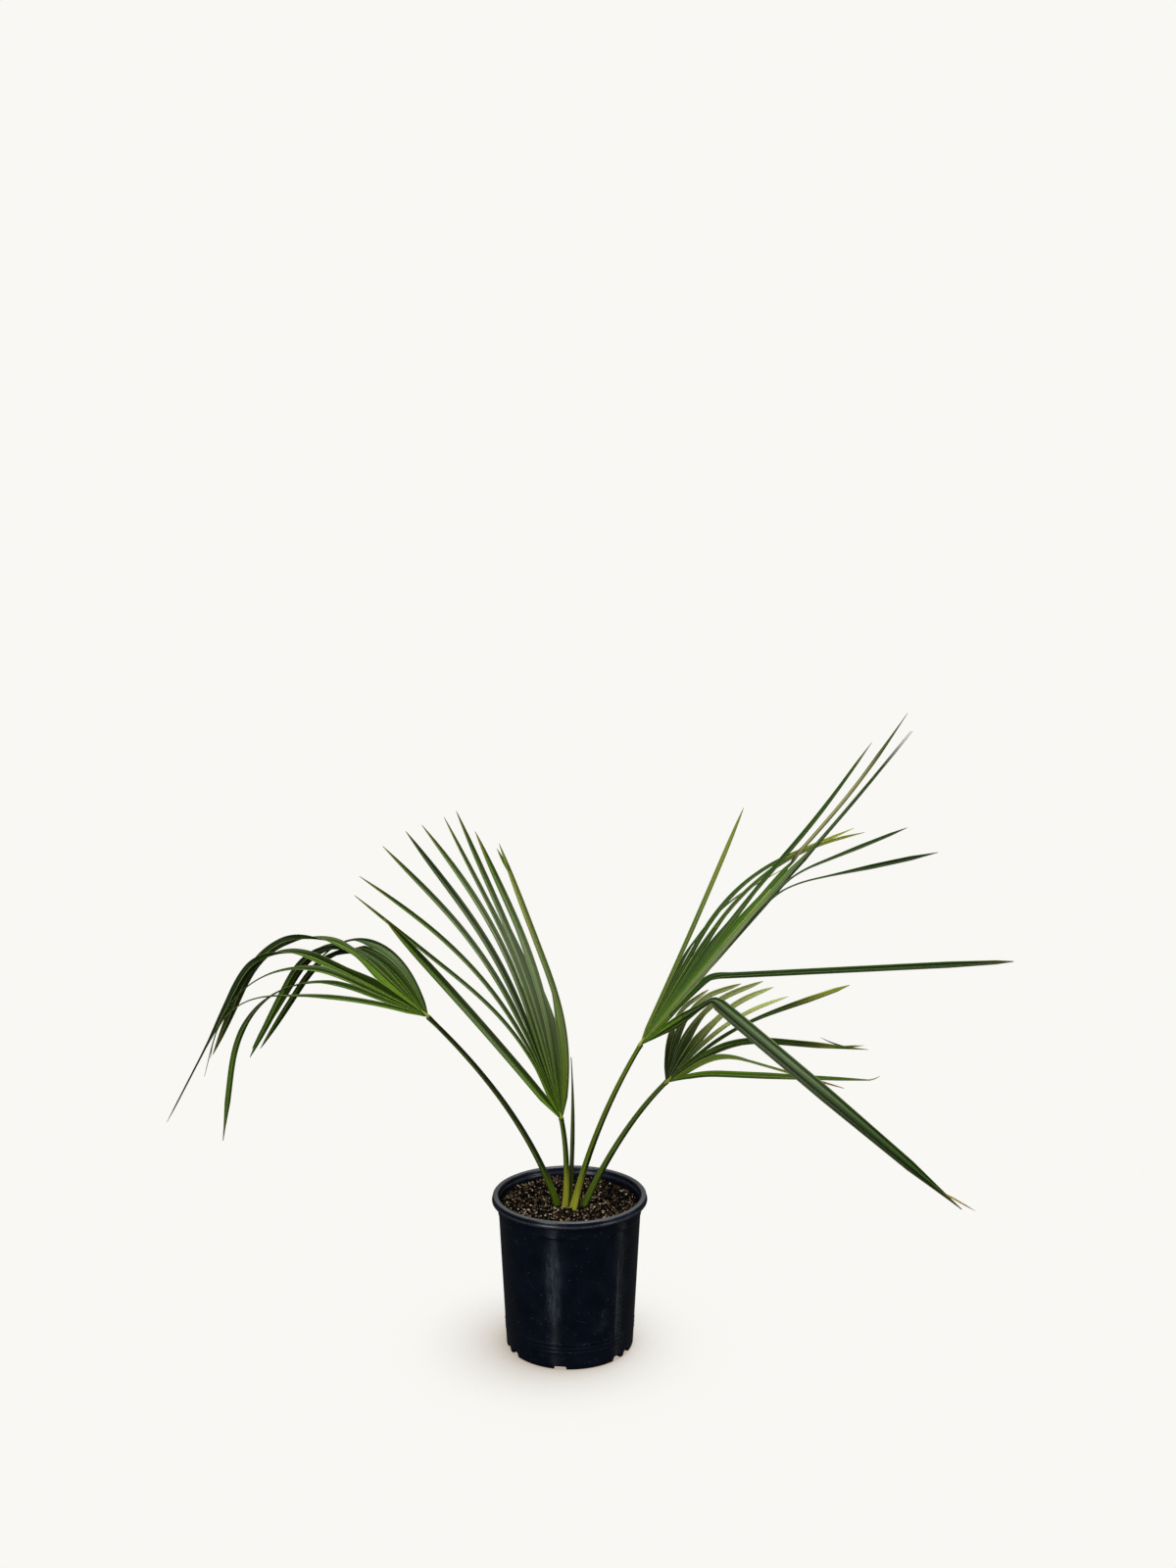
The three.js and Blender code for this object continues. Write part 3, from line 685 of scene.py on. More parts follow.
def welded(w, sheet, distance, chosen=True):
    """Takes out the faces that would join one segment to the next, welds the rest and smooths it."""
    bridge = w.math("FRACT", w.named("segment")) > 0.05
    sheet = w.node("GeometryNodeDeleteGeometry", {0: sheet, 1: bridge}, domain="FACE")
    sheet = w.node("GeometryNodeMergeByDistance", {0: sheet, 1: chosen, 2: distance})
    sheet = w.node("GeometryNodeSetShadeSmooth", {0: sheet})
    return w.node("GeometryNodeRealizeInstances", {0: sheet})


def blade_tree(materials):
    """Pleated leaf segments on the ribs of a table, welded where they are joined."""
    w = new_tree("pleated_blade", Columns=COLUMNS, Lamina_Bulge=0.3, Rib_Height=0.15 * MM,
                 Ripple_Height=0.5 * MM, Ripple_Length=45 * MM, Weld=0.02 * MM)
    grid, column, read = grid_over(w, w.given("Columns"))
    across = column / (w.given("Columns") - 1) * 2 - 1
    side = abs(across)
    doubled = abs(side * 2 - 1)
    off_rib = w.node("ShaderNodeMix", {0: read("pleats") - 1, 2: side, 3: doubled}, data_type="FLOAT")
    middle, left, right, up = (read(name, VECTOR) for name in ("middle", "left", "right", "up"))
    edge = w.node("GeometryNodeSwitch", {0: across > 0, 1: right, 2: left}, input_type="VECTOR")
    spread = (edge - middle) * side
    bulge = w.math("SINE", off_rib * math.pi) * w.given("Lamina Bulge")
    depth = (off_rib - 1 + bulge) * read("fold")
    ridge = w.ramp(off_rib, 0, 0.13, 1, 0) * w.given("Rib Height")
    share = read("share")
    ripple = w.noise(middle + spread * 0.25, 1 / w.given("Ripple Length"), 1)
    wave = (ripple - 0.5) * w.ramp(share, 0.25, 0.7) * w.given("Ripple Height")
    where = middle + spread + up * (depth + ridge + wave)
    sheet = w.node("GeometryNodeSetPosition", {0: grid, 2: where})
    sheet = keep(w, sheet, "POINT", off_rib=off_rib, **{name: read(name) for name in ("segment", "kind", "body")})
    sheet = keep(w, sheet, "CORNER", across=across, share=share,
                 **{name: read(name) for name in ("along", "tone", "lit", "sheen")})
    sheet = welded(w, sheet, w.given("Weld"), side > 0.999)
    for number, material in enumerate(materials):
        own = w.math("COMPARE", w.named("kind"), number, 0.3)
        sheet = w.node("GeometryNodeSetMaterial", {0: sheet, 1: own, 2: material})
    w.give(sheet)
    return w.tree


def thicken(piece, underside_of):
    """Gives a sheet its body, thickest along the ribs, and its underside the materials of its own."""
    mesh = piece.data

    def values(name):
        found = np.zeros(len(mesh.vertices), np.float32)
        mesh.attributes[name].data.foreach_get("value", found)
        return found

    on_rib = 1 - smoothstep(values("off_rib"), 0.0, 0.3)
    weights = (LAMINA_SHARE + (1 - LAMINA_SHARE) * on_rib) * (0.35 + 0.65 * values("body"))
    body = piece.vertex_groups.new(name="body")
    for index, weight in enumerate(weights):
        body.add([index], float(weight), "REPLACE")
    tops = list(mesh.materials)
    for material in tops:
        mesh.materials.append(underside_of[material.name])
    solid = piece.modifiers.new("body", "SOLIDIFY")
    solid.thickness, solid.offset, solid.vertex_group = LEAF_THICKNESS * MM, -1, body.name
    solid.use_quality_normals = True
    solid.material_offset = len(tops)
    settle(piece)
    piece.vertex_groups.clear()


# Limbs: petioles, hastulas and the spear leaf

def closed(radii):
    """Radii along a limb, with its two ends drawn together."""
    radii[[0, -1]] = LIMB_END
    return radii


def limb_rows(points, widths, heights, facing, tone=0.5):
    """One row for each ring of a limb along a line of points. facing is the way its grooved side looks, and
    lit the place around each ring that looks the light way, from which its finish paints a lit side and a shaded
    side."""
    along = unit(np.gradient(points, axis=0))
    up = unit(facing - (along @ facing)[:, None] * along)
    across = np.cross(along, up)
    lengths = np.concatenate([[0], np.cumsum(np.linalg.norm(np.diff(points, axis=0), axis=1))])
    return {
        "middle": points * MM, "up": up * (heights * MM)[:, None], "across": across * (widths * MM)[:, None],
        "along": lengths * MM, "share": lengths / lengths[-1], "segment": np.zeros(len(points)),
        "tone": np.full(len(points), tone), "lit": np.arctan2(up @ PAINTED_LIGHT_SIDE, across @ PAINTED_LIGHT_SIDE) / FULL_TURN,
    }


def limb_tree(material):
    """Closed limbs on the rings of a table, with a groove down the side that faces up."""
    w = new_tree("grooved_limb", Sides=24, Groove_Depth=0.35, Groove_Width=0.9, Flutes=9.0, Flute_Depth=0.02)
    grid, column, read = grid_over(w, w.given("Sides") + 1)
    around = column / w.given("Sides")
    turn = around * FULL_TURN
    radius = w.math("COSINE", turn * w.given("Flutes")) * w.given("Flute Depth") + 1
    sideways, upwards = w.math("COSINE", turn) * radius, w.math("SINE", turn) * radius
    in_groove = 1 - abs(sideways) / w.given("Groove Width")
    upwards = upwards - w.ramp(in_groove, 0, 1) * w.given("Groove Depth") * (upwards > 0)
    where = read("middle", VECTOR) + (read("across", VECTOR) * sideways + read("up", VECTOR) * upwards)
    skin = w.node("GeometryNodeSetPosition", {0: grid, 2: where})
    skin = keep(w, skin, "POINT", segment=read("segment"))
    skin = keep(w, skin, "CORNER", around=around, **{name: read(name) for name in ("share", "along", "tone", "lit")})
    skin = welded(w, skin, 0.01 * MM)
    w.give(w.node("GeometryNodeSetMaterial", {0: skin, 2: material}))
    return w.tree


def arc(foot, lean, end, count):
    """Points of the curve that leaves foot towards lean and reaches end."""
    t = np.linspace(0, 1, count)[:, None]
    foot, lean, end = (np.array(point, float) for point in (foot, lean, end))
    return (1 - t) ** 2 * foot + 2 * t * (1 - t) * lean + t ** 2 * end


# Pot

def wall_radius(height):
    return BASE_RADIUS + (WALL_TOP_RADIUS - BASE_RADIUS) * height / WALL_TOP


def pot_outline():
    """Radius and height, up the outside, over the rim and down the inside."""
    def wall(height, proud=0.0):
        return wall_radius(height) + proud, height

    outside = [(0, 0), (60, 0), (78.6, 0), (80.6, 0.35), (81.7, 1.2), wall(BASE_EDGE_TOP)]
    last = BASE_EDGE_TOP
    for ring in BASE_RINGS:
        outside += [wall(height) for height in np.linspace(last, ring - RING_HALF, 5)[1:]]
        outside += [wall(ring + step, proud) for step, proud in RING_SHAPE]
        last = ring + RING_HALF
    outside += [wall(height) for height in np.linspace(last, STACKING_STEP - 1, 14)[1:]]
    outside += [wall(STACKING_STEP + step, proud) for step, proud in STEP_SHAPE] + [wall(187, 0.2)]
    inside = [wall(height, -WALL) for height in np.linspace(190, 6, 14)]
    return [*outside, *RIM_OUTLINE, *inside, (78.9, FLOOR + 1), (77.4, FLOOR), (40, FLOOR), (0, FLOOR)]


def turned_mesh(name, rings, sides):
    """A closed solid of rings round the axis, from the end point that faces up to the one that faces down. A
    ring is its radius and its height, or what gives the height at a place."""
    def placed(ring, step=0):
        radius, height = ring
        x, y = radius * math.cos(FULL_TURN * step / sides), radius * math.sin(FULL_TURN * step / sides)
        return x, y, height(x, y) if callable(height) else height

    points = [placed(rings[0])] + [placed(ring, k) for ring in rings[1:-1] for k in range(sides)]
    points.append(placed(rings[-1]))
    starts = [1 + r * sides for r in range(len(rings) - 2)]
    faces = []
    for k in range(sides):
        after = (k + 1) % sides
        faces.append((0, 1 + k, 1 + after))
        faces += [(here + k, there + k, there + after, here + after) for here, there in zip(starts, starts[1:])]
        faces.append((len(points) - 1, starts[-1] + after, starts[-1] + k))
    return mesh_of(name, points, faces)


def notch_cutters():
    """The blocks that cut the drain notches, a little narrower at their tops."""
    half_pair = math.degrees((NOTCH_WIDTH + NOTCH_POST) / 2 / BASE_RADIUS)
    pairs = [angle + side for angle in PAIRED_NOTCHES for side in (-half_pair, half_pair)]
    points, faces, n = [], [], len(NOTCH_OUTLINE)
    for angle in map(math.radians, (*SINGLE_NOTCHES, *pairs)):
        outward = Vector((math.cos(angle), math.sin(angle), 0))
        sideways = Vector((-math.sin(angle), math.cos(angle), 0))
        base = len(points)
        points += [(outward * radius + sideways * across * NOTCH_WIDTH + Vector((0, 0, height * NOTCH_HEIGHT))) * MM
                   for radius in (BASE_RADIUS - NOTCH_DEPTH, BASE_RADIUS + NOTCH_DEPTH)
                   for across, height in NOTCH_OUTLINE]
        faces += [[base + k for k in reversed(range(n))], [base + n + k for k in range(n)]]
        for k in range(n):
            after = (k + 1) % n
            faces.append([base + k, base + after, base + n + after, base + n + k])
    return mesh_of("notch_cutters", points, faces)


def make_pot(material):
    outline = [(radius * MM, height * MM) for radius, height in reversed(pot_outline())]
    pot = object_of("nursery_pot", turned_mesh("nursery_pot", outline, POT_SIDES))
    cutters = object_of("notch_cutters", notch_cutters())
    cut = pot.modifiers.new("notches", "BOOLEAN")
    cut.operation, cut.solver, cut.object = "DIFFERENCE", "EXACT", cutters
    settle(pot)
    bpy.data.objects.remove(cutters)
    pot.data.materials.clear()
    pot.data.materials.append(material)
    pot.data.shade_smooth()
    pot.data.set_sharp_from_angle(angle=math.radians(SHARP_EDGE))
    return pot


# Potting mix

def soil_relief(x, y):
    """Height of the potting mix, heaped at the left and sunk at the right and back."""
    lumps = sum(height * noise.noise(Vector((x, y, seed)) * number) for height, seed, number in SOIL_LUMPS)
    return (SOIL_HEIGHT + SOIL_RAISED + lumps) * MM + SOIL_TILT[0] * x + SOIL_TILT[1] * y


def soil_mesh():
    outer = (wall_radius(SOIL_HEIGHT) - WALL - 0.3) * MM
    low = (wall_radius(SOIL_BOTTOM) - WALL - 0.6) * MM
    rings = [(outer * ring / SOIL_RINGS, soil_relief) for ring in range(SOIL_RINGS + 1)]
    return turned_mesh("potting_mix", rings + [(low, SOIL_BOTTOM * MM), (0, SOIL_BOTTOM * MM)], SOIL_SIDES)


def bits_tree(name, materials, shares):
    """Small bits strewn over the top of a surface, each knocked out of shape, in a few finishes."""
    w = new_tree(name, Density=1000.0, Smallest=(1 * MM, 1 * MM, 0.5 * MM), Largest=(3 * MM, 1.5 * MM, 1 * MM),
                 Tilt=0.5, Roughness=0.8 * MM, Lift=0.5 * MM, Edge_Radius=86 * MM, Seed=1)
    seed, tilt = w.given("Seed"), w.given("Tilt")
    place = w.node("GeometryNodeInputPosition")
    upness = w.node("ShaderNodeSeparateXYZ", {0: w.node("GeometryNodeInputNormal")}, "Z")
    inside = w.length(place * (1, 1, 0)) < w.given("Edge Radius")
    points = w.node("GeometryNodeDistributePointsOnFaces",
                    {0: w.given("Geometry"), 1: (upness > 0.3) * inside, 4: w.given("Density"), 6: seed})

    def drawn(low, high, extra):
        return w.node("FunctionNodeRandomValue", {0: low, 1: high, "Seed": seed + extra}, data_type=VECTOR)

    turn = drawn(w.combine(tilt * -1, tilt * -1), w.combine(tilt, tilt, FULL_TURN), 11)
    turn = w.node("FunctionNodeEulerToRotation", {0: turn})
    size = drawn(w.given("Smallest"), w.given("Largest"), 23)
    points = w.node("GeometryNodeSetPosition", {0: points, 3: w.combine(0, 0, w.given("Lift"))})
    ball = w.node("GeometryNodeMeshIcoSphere", {0: 1.0, 1: 1})
    bits = w.node("GeometryNodeInstanceOnPoints", {0: points, 2: ball, 5: turn, 6: size})
    bits = keep(w, bits, "INSTANCE",
                tone=w.node("FunctionNodeRandomValue", {"Seed": seed + 37}, 1, data_type="FLOAT"))
    bits = w.node("GeometryNodeRealizeInstances", {0: bits})
    shift = (w.noise(place, 420, 2).beside("Color") - (0.5, 0.5, 0.5)) * w.given("Roughness")
    bits = w.node("GeometryNodeSetPosition", {0: bits, 3: shift})
    tone, begins = w.named("tone"), 0.0
    for material, share in zip(materials, shares):
        own = (tone > begins - 0.001) * (tone < begins + share + 0.001)
        bits = w.node("GeometryNodeSetMaterial", {0: bits, 1: own, 2: material})
        begins += share
    w.give(bits)
    return w.tree


# Finishes

def fibres_group():
    """Fine lines that run the length of a leaf or a petiole: a mask and a height."""
    w = new_tree("fibres", ("Mask", "Height"), Across=0.0, Along=0.0, Lines=10.0, Run=8.0, Seed=0.0)
    spot = w.combine(w.given("Across") * w.given("Lines"), w.given("Along") * w.given("Run"), w.given("Seed"))
    fine = w.noise(spot, 2.6, 2, 0.6)
    w.give(w.ramp(fine * 0.65 + w.noise(spot, 0.8, 1) * 0.35, 0.36, 0.64), "Mask")
    w.give(fine, "Height")
    return w.tree


def mottle_group():
    """Soft uneven patches of a size, from 0 to 1."""
    w = new_tree("mottle", ("Value",), Patch_Size=0.02, Contrast=0.5)
    cloud = w.noise(w.place(), 1 / w.given("Patch Size"), 3, 0.55)
    w.give(w.node("ShaderNodeClamp", {0: (cloud - 0.5) * (w.given("Contrast") * 4) + 0.5}))
    return w.tree


def hairlines_group():
    """Fine curved scratches: a mask."""
    w = new_tree("hairlines", ("Mask",), Size=0.03, Width=0.004, Seed=0.0)
    place = w.place() + w.given("Seed")
    inverse = 1 / w.given("Size")
    line = w.ramp(abs(w.noise(place, inverse, 0) - 0.5), 0, w.given("Width"), 1, 0)
    w.give(line * w.ramp(w.noise(place, inverse * 1.7, 2), 0.56, 0.64))
    return w.tree


FIBRES, MOTTLE, HAIRLINES = fibres_group(), mottle_group(), hairlines_group()


def leaf_finish(name, near, blade, tip, tips, rib, roughness, contrast, painted_halves=(0.42, 1.45), duller=0.0):
    """A leaf's upper or lower side: its colour from the hastula to the tip, its fibres, rib and margins, with one
    half painted lighter and the other darker as painted light and shade, painted shade in the valleys near the
    margins and a painted pale highlight.
    """
    w = Finish(name, Roughness=roughness, Specular_IOR_Level=0.15)
    across, share, along, tone, lit, off_rib, sheen = map(
        w.kept, ("across", "share", "along", "tone", "lit", "off_rib", "sheen"))
    fibres = w.group(FIBRES, Across=across, Along=along, Lines=4.5, Run=3.0, Seed=tone * 37)
    patches = w.group(MOTTLE, Patch_Size=0.04, Contrast=0.5)
    body = w.blend(w.ramp(along, 0.01, 0.14), near, blade)
    body = w.blend(w.ramp(share, *tips), body, tip)
    # One half of each segment is painted lighter and the other darker: painted light and shade.
    half = w.ramp(across * lit, -0.12, 0.12)
    body = w.blend(half, w.times(body, painted_halves[0]), w.times(body, painted_halves[1]))
    body = w.blend(fibres, w.times(body, contrast), body)
    body = w.blend(patches * tone, body, w.times(body, 1.45, 1.4, 1.3))
    # A painted pale highlight, strongest on the painted lighter half.
    painted_shine = sheen * w.ramp(fibres, 0, 1, 0.55, 1)
    body = w.blend(painted_shine * w.ramp(half, 0, 1, 0.5, 1), body, PAINTED_SHEEN)
    side = abs(across)
    # Painted shade in the valley beside each margin.
    painted_valley_shade = w.ramp(side, 0.55, 0.8) * w.ramp(side, 0.84, 0.92, 1, 0)
    body = w.blend(painted_valley_shade * 0.8, body, w.times(body, 0.5))
    line, margin = w.ramp(off_rib, 0.02, 0.1, 0.85, 0), w.ramp(side, 0.9, 0.98) * 0.85
    pale = w.math("MAXIMUM", w.math("MAXIMUM", line, w.ramp(fibres, 0.82, 1) * 0.35), margin)
    return w.show(Base_Color=w.blend(pale * 0.72, body, rib), Roughness=(fibres - 0.5) * 0.16 + roughness + duller,
                  Normal=w.bump(0.4, 0.25, fibres.beside("Height")))


def petiole_finish(name, foot, light, dark, line, roughness=0.4):
    """A petiole's finish: paler at its foot, painted lighter on the side that faces the light and darker on the other
    as painted light and shade, with a fine pale line where the painted light meets the painted shade.
    """
    w = Finish(name, Roughness=roughness, Specular_IOR_Level=0.12)
    around, along, tone, lit = map(w.kept, ("around", "along", "tone", "lit"))
    fibres = w.group(FIBRES, Across=around, Along=along, Lines=26.0, Run=9.0, Seed=tone * 21)
    patches = w.group(MOTTLE, Patch_Size=0.03, Contrast=0.5)
    # The side facing the light is painted lighter, the other painted darker, and a pale line is painted where they
    # meet.
    side = w.math("COSINE", (around - lit) * FULL_TURN) + (fibres - 0.5) * 0.3
    seam = w.ramp(1 - abs(side - 0.45) * 7, 0, 1)
    body = w.layered(w.blend(w.ramp(side, 0.2, 0.6), dark, light), (seam * 0.5, line),
                     (w.ramp(along, 0.012, 0.07, 0.8, 0), foot), (w.ramp(fibres, 0, 1, 1, 0) * 0.4, dark),
                     (patches * 0.25, dark))
    return w.show(Base_Color=body, Normal=w.bump(0.3, 0.3, fibres.beside("Height")))


def pot_finish():
    """Glossy navy-black plastic with dust, scratches, an upright scuff at the front that is partly a painted
    highlight, a thin painted glint, a faint pale upright band, and a worn rim whose lower bead is partly a painted
    glint.
    """
    w = Finish("pot_plastic", Specular_IOR_Level=0.5)
    place = w.place()
    parts = w.node("ShaderNodeSeparateXYZ", {0: place})
    height = parts.beside("Z")
    turn = w.math("ARCTAN2", parts.beside("Y"), parts)
    radius = w.length(place * (1, 1, 0))
    dust = w.group(MOTTLE, Patch_Size=0.03, Contrast=0.8)
    grit = w.noise(place, 900, 2, 0.7)
    ragged = w.noise(place * (420, 420, 60), 1, 4, 0.75)

    def upright_mark(angle, spread, low, high):
        core = w.ramp(abs(turn - math.radians(angle)), 0, math.radians(spread), 1, 0)
        lower_end = w.ramp(height, low * MM, (low + 30) * MM)
        return core * (lower_end * w.ramp(height, (high - 25) * MM, high * MM, 1, 0))

    # An upright scuff at the front, partly a painted highlight.
    scuff_and_painted_highlight = upright_mark(-103, 9, 58, 165) * w.ramp(ragged, 0.4, 0.62)
    # A thin painted glint at the front right.
    painted_glint = upright_mark(-46, 1.4, 20, 150) * w.ramp(ragged, 0.3, 0.6)
    # A faint pale upright band at the front right, patchy like the dust.
    pale_upright_band = upright_mark(-62, 10, 20, 120) * w.ramp(dust, 0.3, 0.9)
    scratches = w.group(HAIRLINES, Size=0.03, Width=0.006, Seed=0.4)
    long_marks = w.group(HAIRLINES, Size=0.09, Width=0.004, Seed=1.3)
    on_rim = w.ramp(height, 198.6 * MM, 199.7 * MM) * w.ramp(radius, 90.5 * MM, 92 * MM)
    worn = on_rim * w.ramp(grit, 0.3, 0.62, 0.5, 1)
    # Wear along the rim's lower bead, partly a painted glint.
    rim_bead_wear_and_painted_glint = w.ramp(radius, 99.2 * MM, 99.8 * MM) * w.ramp(height, 190 * MM, 192 * MM)
    specks = w.ramp(w.noise(place, 380, 1), 0.73, 0.77)
    body = w.layered(w.blend(dust, (3, 11, 25), (8, 18, 36)), (pale_upright_band * 0.25, (60, 66, 84)),
                     (scuff_and_painted_highlight * 0.65, (84, 96, 114)), (w.math("MAXIMUM", painted_glint, scratches) * 0.4, (110, 112, 112)),
                     (long_marks * 0.16, (96, 92, 86)), (worn, (86, 88, 90)),
                     (rim_bead_wear_and_painted_glint * w.ramp(grit, 0.42, 0.6) * 0.4, (104, 112, 128)),
                     (specks * 0.35, (130, 130, 124)))
    marks = w.math("MAXIMUM", w.math("MAXIMUM", worn, scuff_and_painted_highlight), specks)
    relief = w.noise(place * (60, 60, 12), 1, 3) + grit * 0.06 - scratches * 0.1
    return w.show(Base_Color=body, Roughness=dust * 0.14 + 0.2 + marks * 0.3, Normal=w.bump(0.3, 0.7, relief))


def bark_finish(name, dark, light, roughness=0.8):
    """Composted bark or another bit of the potting mix."""
    w = Finish(name, Roughness=roughness, Specular_IOR_Level=0.06)
    grain = w.noise(w.place() * (1, 1, 2.5), 700, 3, 0.65)
    share = w.ramp(grain, 0.35, 0.7) * w.group(MOTTLE, Patch_Size=0.004, Contrast=0.9)
    return w.show(Base_Color=w.blend(share, dark, light), Normal=w.bump(0.6, 0.5, grain))


# A leaf's upper side: its colours near the hastula, of the blade and of the tip, where the tip's colour
# begins and is full, its rib, roughness, contrast and, where they differ, how bright its halves are painted,
# one with painted shade and the other with painted light. Then its underside in the same order, as far as
# the tip. The dark undersides of the deep, mid and hung kinds are painted shade, for segments whose undersides turn
# into shadow.
PALE_RIB, DULL_RIB, FRESH = (158, 170, 96), (146, 156, 92), (88, 130, 6)
LEAVES = (
    ("leaf_deep",
     ((62, 96, 8), (37, 70, 12), (92, 92, 30), (0.9, 1), DULL_RIB, 0.42, 0.5),
     ((40, 60, 10), (28, 48, 10), (96, 90, 36), (0.86, 1))),
    ("leaf_mid",
     (FRESH, (68, 102, 16), (132, 128, 44), (0.88, 1), PALE_RIB, 0.46, 0.5),
     ((56, 80, 12), (40, 64, 10), (126, 118, 48), (0.88, 1))),
    ("leaf_bright",
     ((76, 116, 8), (56, 94, 10), (104, 122, 34), (0.9, 1), DULL_RIB, 0.46, 0.5),
     ((90, 116, 24), (160, 160, 108), (46, 66, 26), (0.78, 0.92))),
    ("leaf_pale",
     ((38, 64, 10), (72, 102, 24), (190, 204, 122), (0.22, 0.6), (206, 212, 150), 0.6, 0.68, (0.8, 1.25)),
     ((54, 78, 24), (78, 102, 42), (164, 178, 100), (0.3, 0.7))),
    ("leaf_tipped",
     ((54, 84, 14), (42, 72, 14), (166, 174, 60), (0.66, 0.92), PALE_RIB, 0.46, 0.55),
     ((70, 94, 20), (54, 76, 20), (156, 162, 44), (0.62, 0.85))),
    ("leaf_olive",
     ((106, 136, 30), (112, 136, 58), (148, 162, 62), (0.5, 0.8), (186, 190, 126), 0.5, 0.6, (0.6, 1.2)),
     ((104, 124, 48), (116, 130, 66), (150, 156, 70), (0.7, 1))),
    ("leaf_dry",
     ((186, 170, 88), (186, 164, 84), (140, 104, 56), (0.4, 1), (196, 180, 110), 0.7, 0.6, (0.8, 1.1)),
     ((150, 130, 70), (150, 130, 70), (110, 82, 48), (0.4, 1))),
    ("leaf_dusk",
     ((82, 118, 12), (64, 100, 14), (32, 58, 16), (0.48, 0.7), DULL_RIB, 0.44, 0.5),
     ((90, 116, 24), (84, 104, 40), (40, 58, 22), (0.48, 0.7))),
    ("leaf_faded",
     ((106, 128, 40), (98, 118, 52), (36, 62, 18), (0.42, 0.62), (140, 152, 100), 0.46, 0.55, (0.75, 1.2)),
     ((104, 124, 48), (96, 112, 54), (44, 62, 24), (0.45, 0.62))),
    ("leaf_hung",
     (FRESH, (54, 90, 12), (120, 116, 44), (0.92, 1), DULL_RIB, 0.46, 0.5),
     ((50, 76, 12), (26, 42, 10), (74, 108, 24), (0.55, 0.78))),
)


# Making the pieces

def make_fronds():
    tops = [leaf_finish(name, *top) for name, top, under in LEAVES]
    underside_of = {name: leaf_finish(name + "_under", *under, DULL_RIB, 0.55, 0.7, (0.75, 1.15), 0.06)
                    for name, top, under in LEAVES}
    tree = blade_tree(tops)
    for number, (side, frond) in enumerate(FRONDS.items()):
        rows = table_mesh("rows_" + side, frond_rows(frond, 100 + number))
        blade = through_nodes("leaf_" + side, rows, tree)
        thicken(blade, underside_of)
        nodes = [name for name in frame["nodes"]
                 if name == "blade_" + side or name.startswith("strap_" + side)]
        place_piece(blade, "leaf_blade", *nodes)


def make_petioles():
    # Each limb finish is given its foot colour, then its painted lit side, painted shaded side and the pale line
    # between them.
    old_stem = limb_tree(petiole_finish("petiole_green", (92, 116, 24), (84, 108, 22), (17, 31, 4), (156, 166, 80)))
    young_stem = limb_tree(petiole_finish("petiole_yellow", (196, 196, 64), (98, 122, 24), (24, 40, 6),
                                          (172, 180, 90)))
    tongue = limb_tree(petiole_finish("hastula_pale", (178, 184, 80), (180, 186, 78), (104, 120, 34),
                                      (196, 200, 120)))
    for number, (side, frond) in enumerate(FRONDS.items()):
        direction, up = fan_ways(ribs_of(frond))
        hastula = np.array(frond["hastula"], float)
        foot = (*frond["foot"], SOIL_HEIGHT - STALK_SUNK)
        points = arc(foot, frond["lean"], hastula + direction * STALK_END, STALK_POINTS)
        share = np.linspace(0, 1, STALK_POINTS)
        foot_radius, tip_radius = frond["radii"]
        radius = foot_radius + (tip_radius - foot_radius) * share ** 0.8
        swell = 1 + 0.22 * smoothstep(share, 0.95, 1.0)
        foot_flare = 1 + frond.get("flare", 0.05) * (1 - smoothstep(share, 0.0, 0.14))
        facing = up if abs(up[2]) > 0.2 else up + np.array([0, 0, 0.3])
        rows = limb_rows(points, closed(radius * swell * foot_flare), closed(radius * 0.86 * swell), facing,
                         0.2 + 0.2 * number)
        petiole = through_nodes("leaf_stalk_" + side, table_mesh("rings", rows),
                                young_stem if "flare" in frond else old_stem)
        place_piece(petiole, "petiole", "petiole_" + side)
        knob = arc(hastula - direction * 3 + up * 0.6, hastula + direction * 5 + up * 2.4,
                   hastula + direction * 12 + up * 1.2, KNOB_POINTS)
        t = np.linspace(0, 1, KNOB_POINTS)
        width = closed((tip_radius + 0.2) * np.sqrt(np.clip(1 - (2 * t - 0.75) ** 2 / 1.6, 0.01, 1)) * (1 - 0.75 * t))
        made = through_nodes("hastula_" + side, table_mesh("rings", limb_rows(knob, width, width * 0.55, up)),
                             tongue)
        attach(made, "root")


def make_spear():
    foot = np.array((*SPEAR["foot"], SOIL_HEIGHT - STALK_SUNK), float)
    middle, tip = (np.array(SPEAR[key], float) for key in ("middle", "tip"))
    points = arc(foot, 2 * middle - (foot + tip) / 2, tip, SPEAR_POINTS)
    slimming = smoothstep(np.linspace(0, 1, SPEAR_POINTS), 0.35, 1.0)
    radius = closed(SPEAR["radii"][0] * (1 - slimming) + SPEAR["radii"][1] * slimming)
    rows = limb_rows(points, radius, radius, np.array([1.0, -0.4, 0]))
    # The spear's foot colour, painted lit side, painted shaded side and the pale line between them.
    finish = petiole_finish("spear_dark", (84, 104, 34), (96, 112, 52), (48, 54, 26), (120, 128, 80), 0.5)
    spear = through_nodes("spear_leaf", table_mesh("rings", rows), limb_tree(finish), Flutes=5.0,
                          Flute_Depth=0.1, Groove_Depth=0.5, Groove_Width=0.4)
    place_piece(spear, "spear_leaf", "spear")


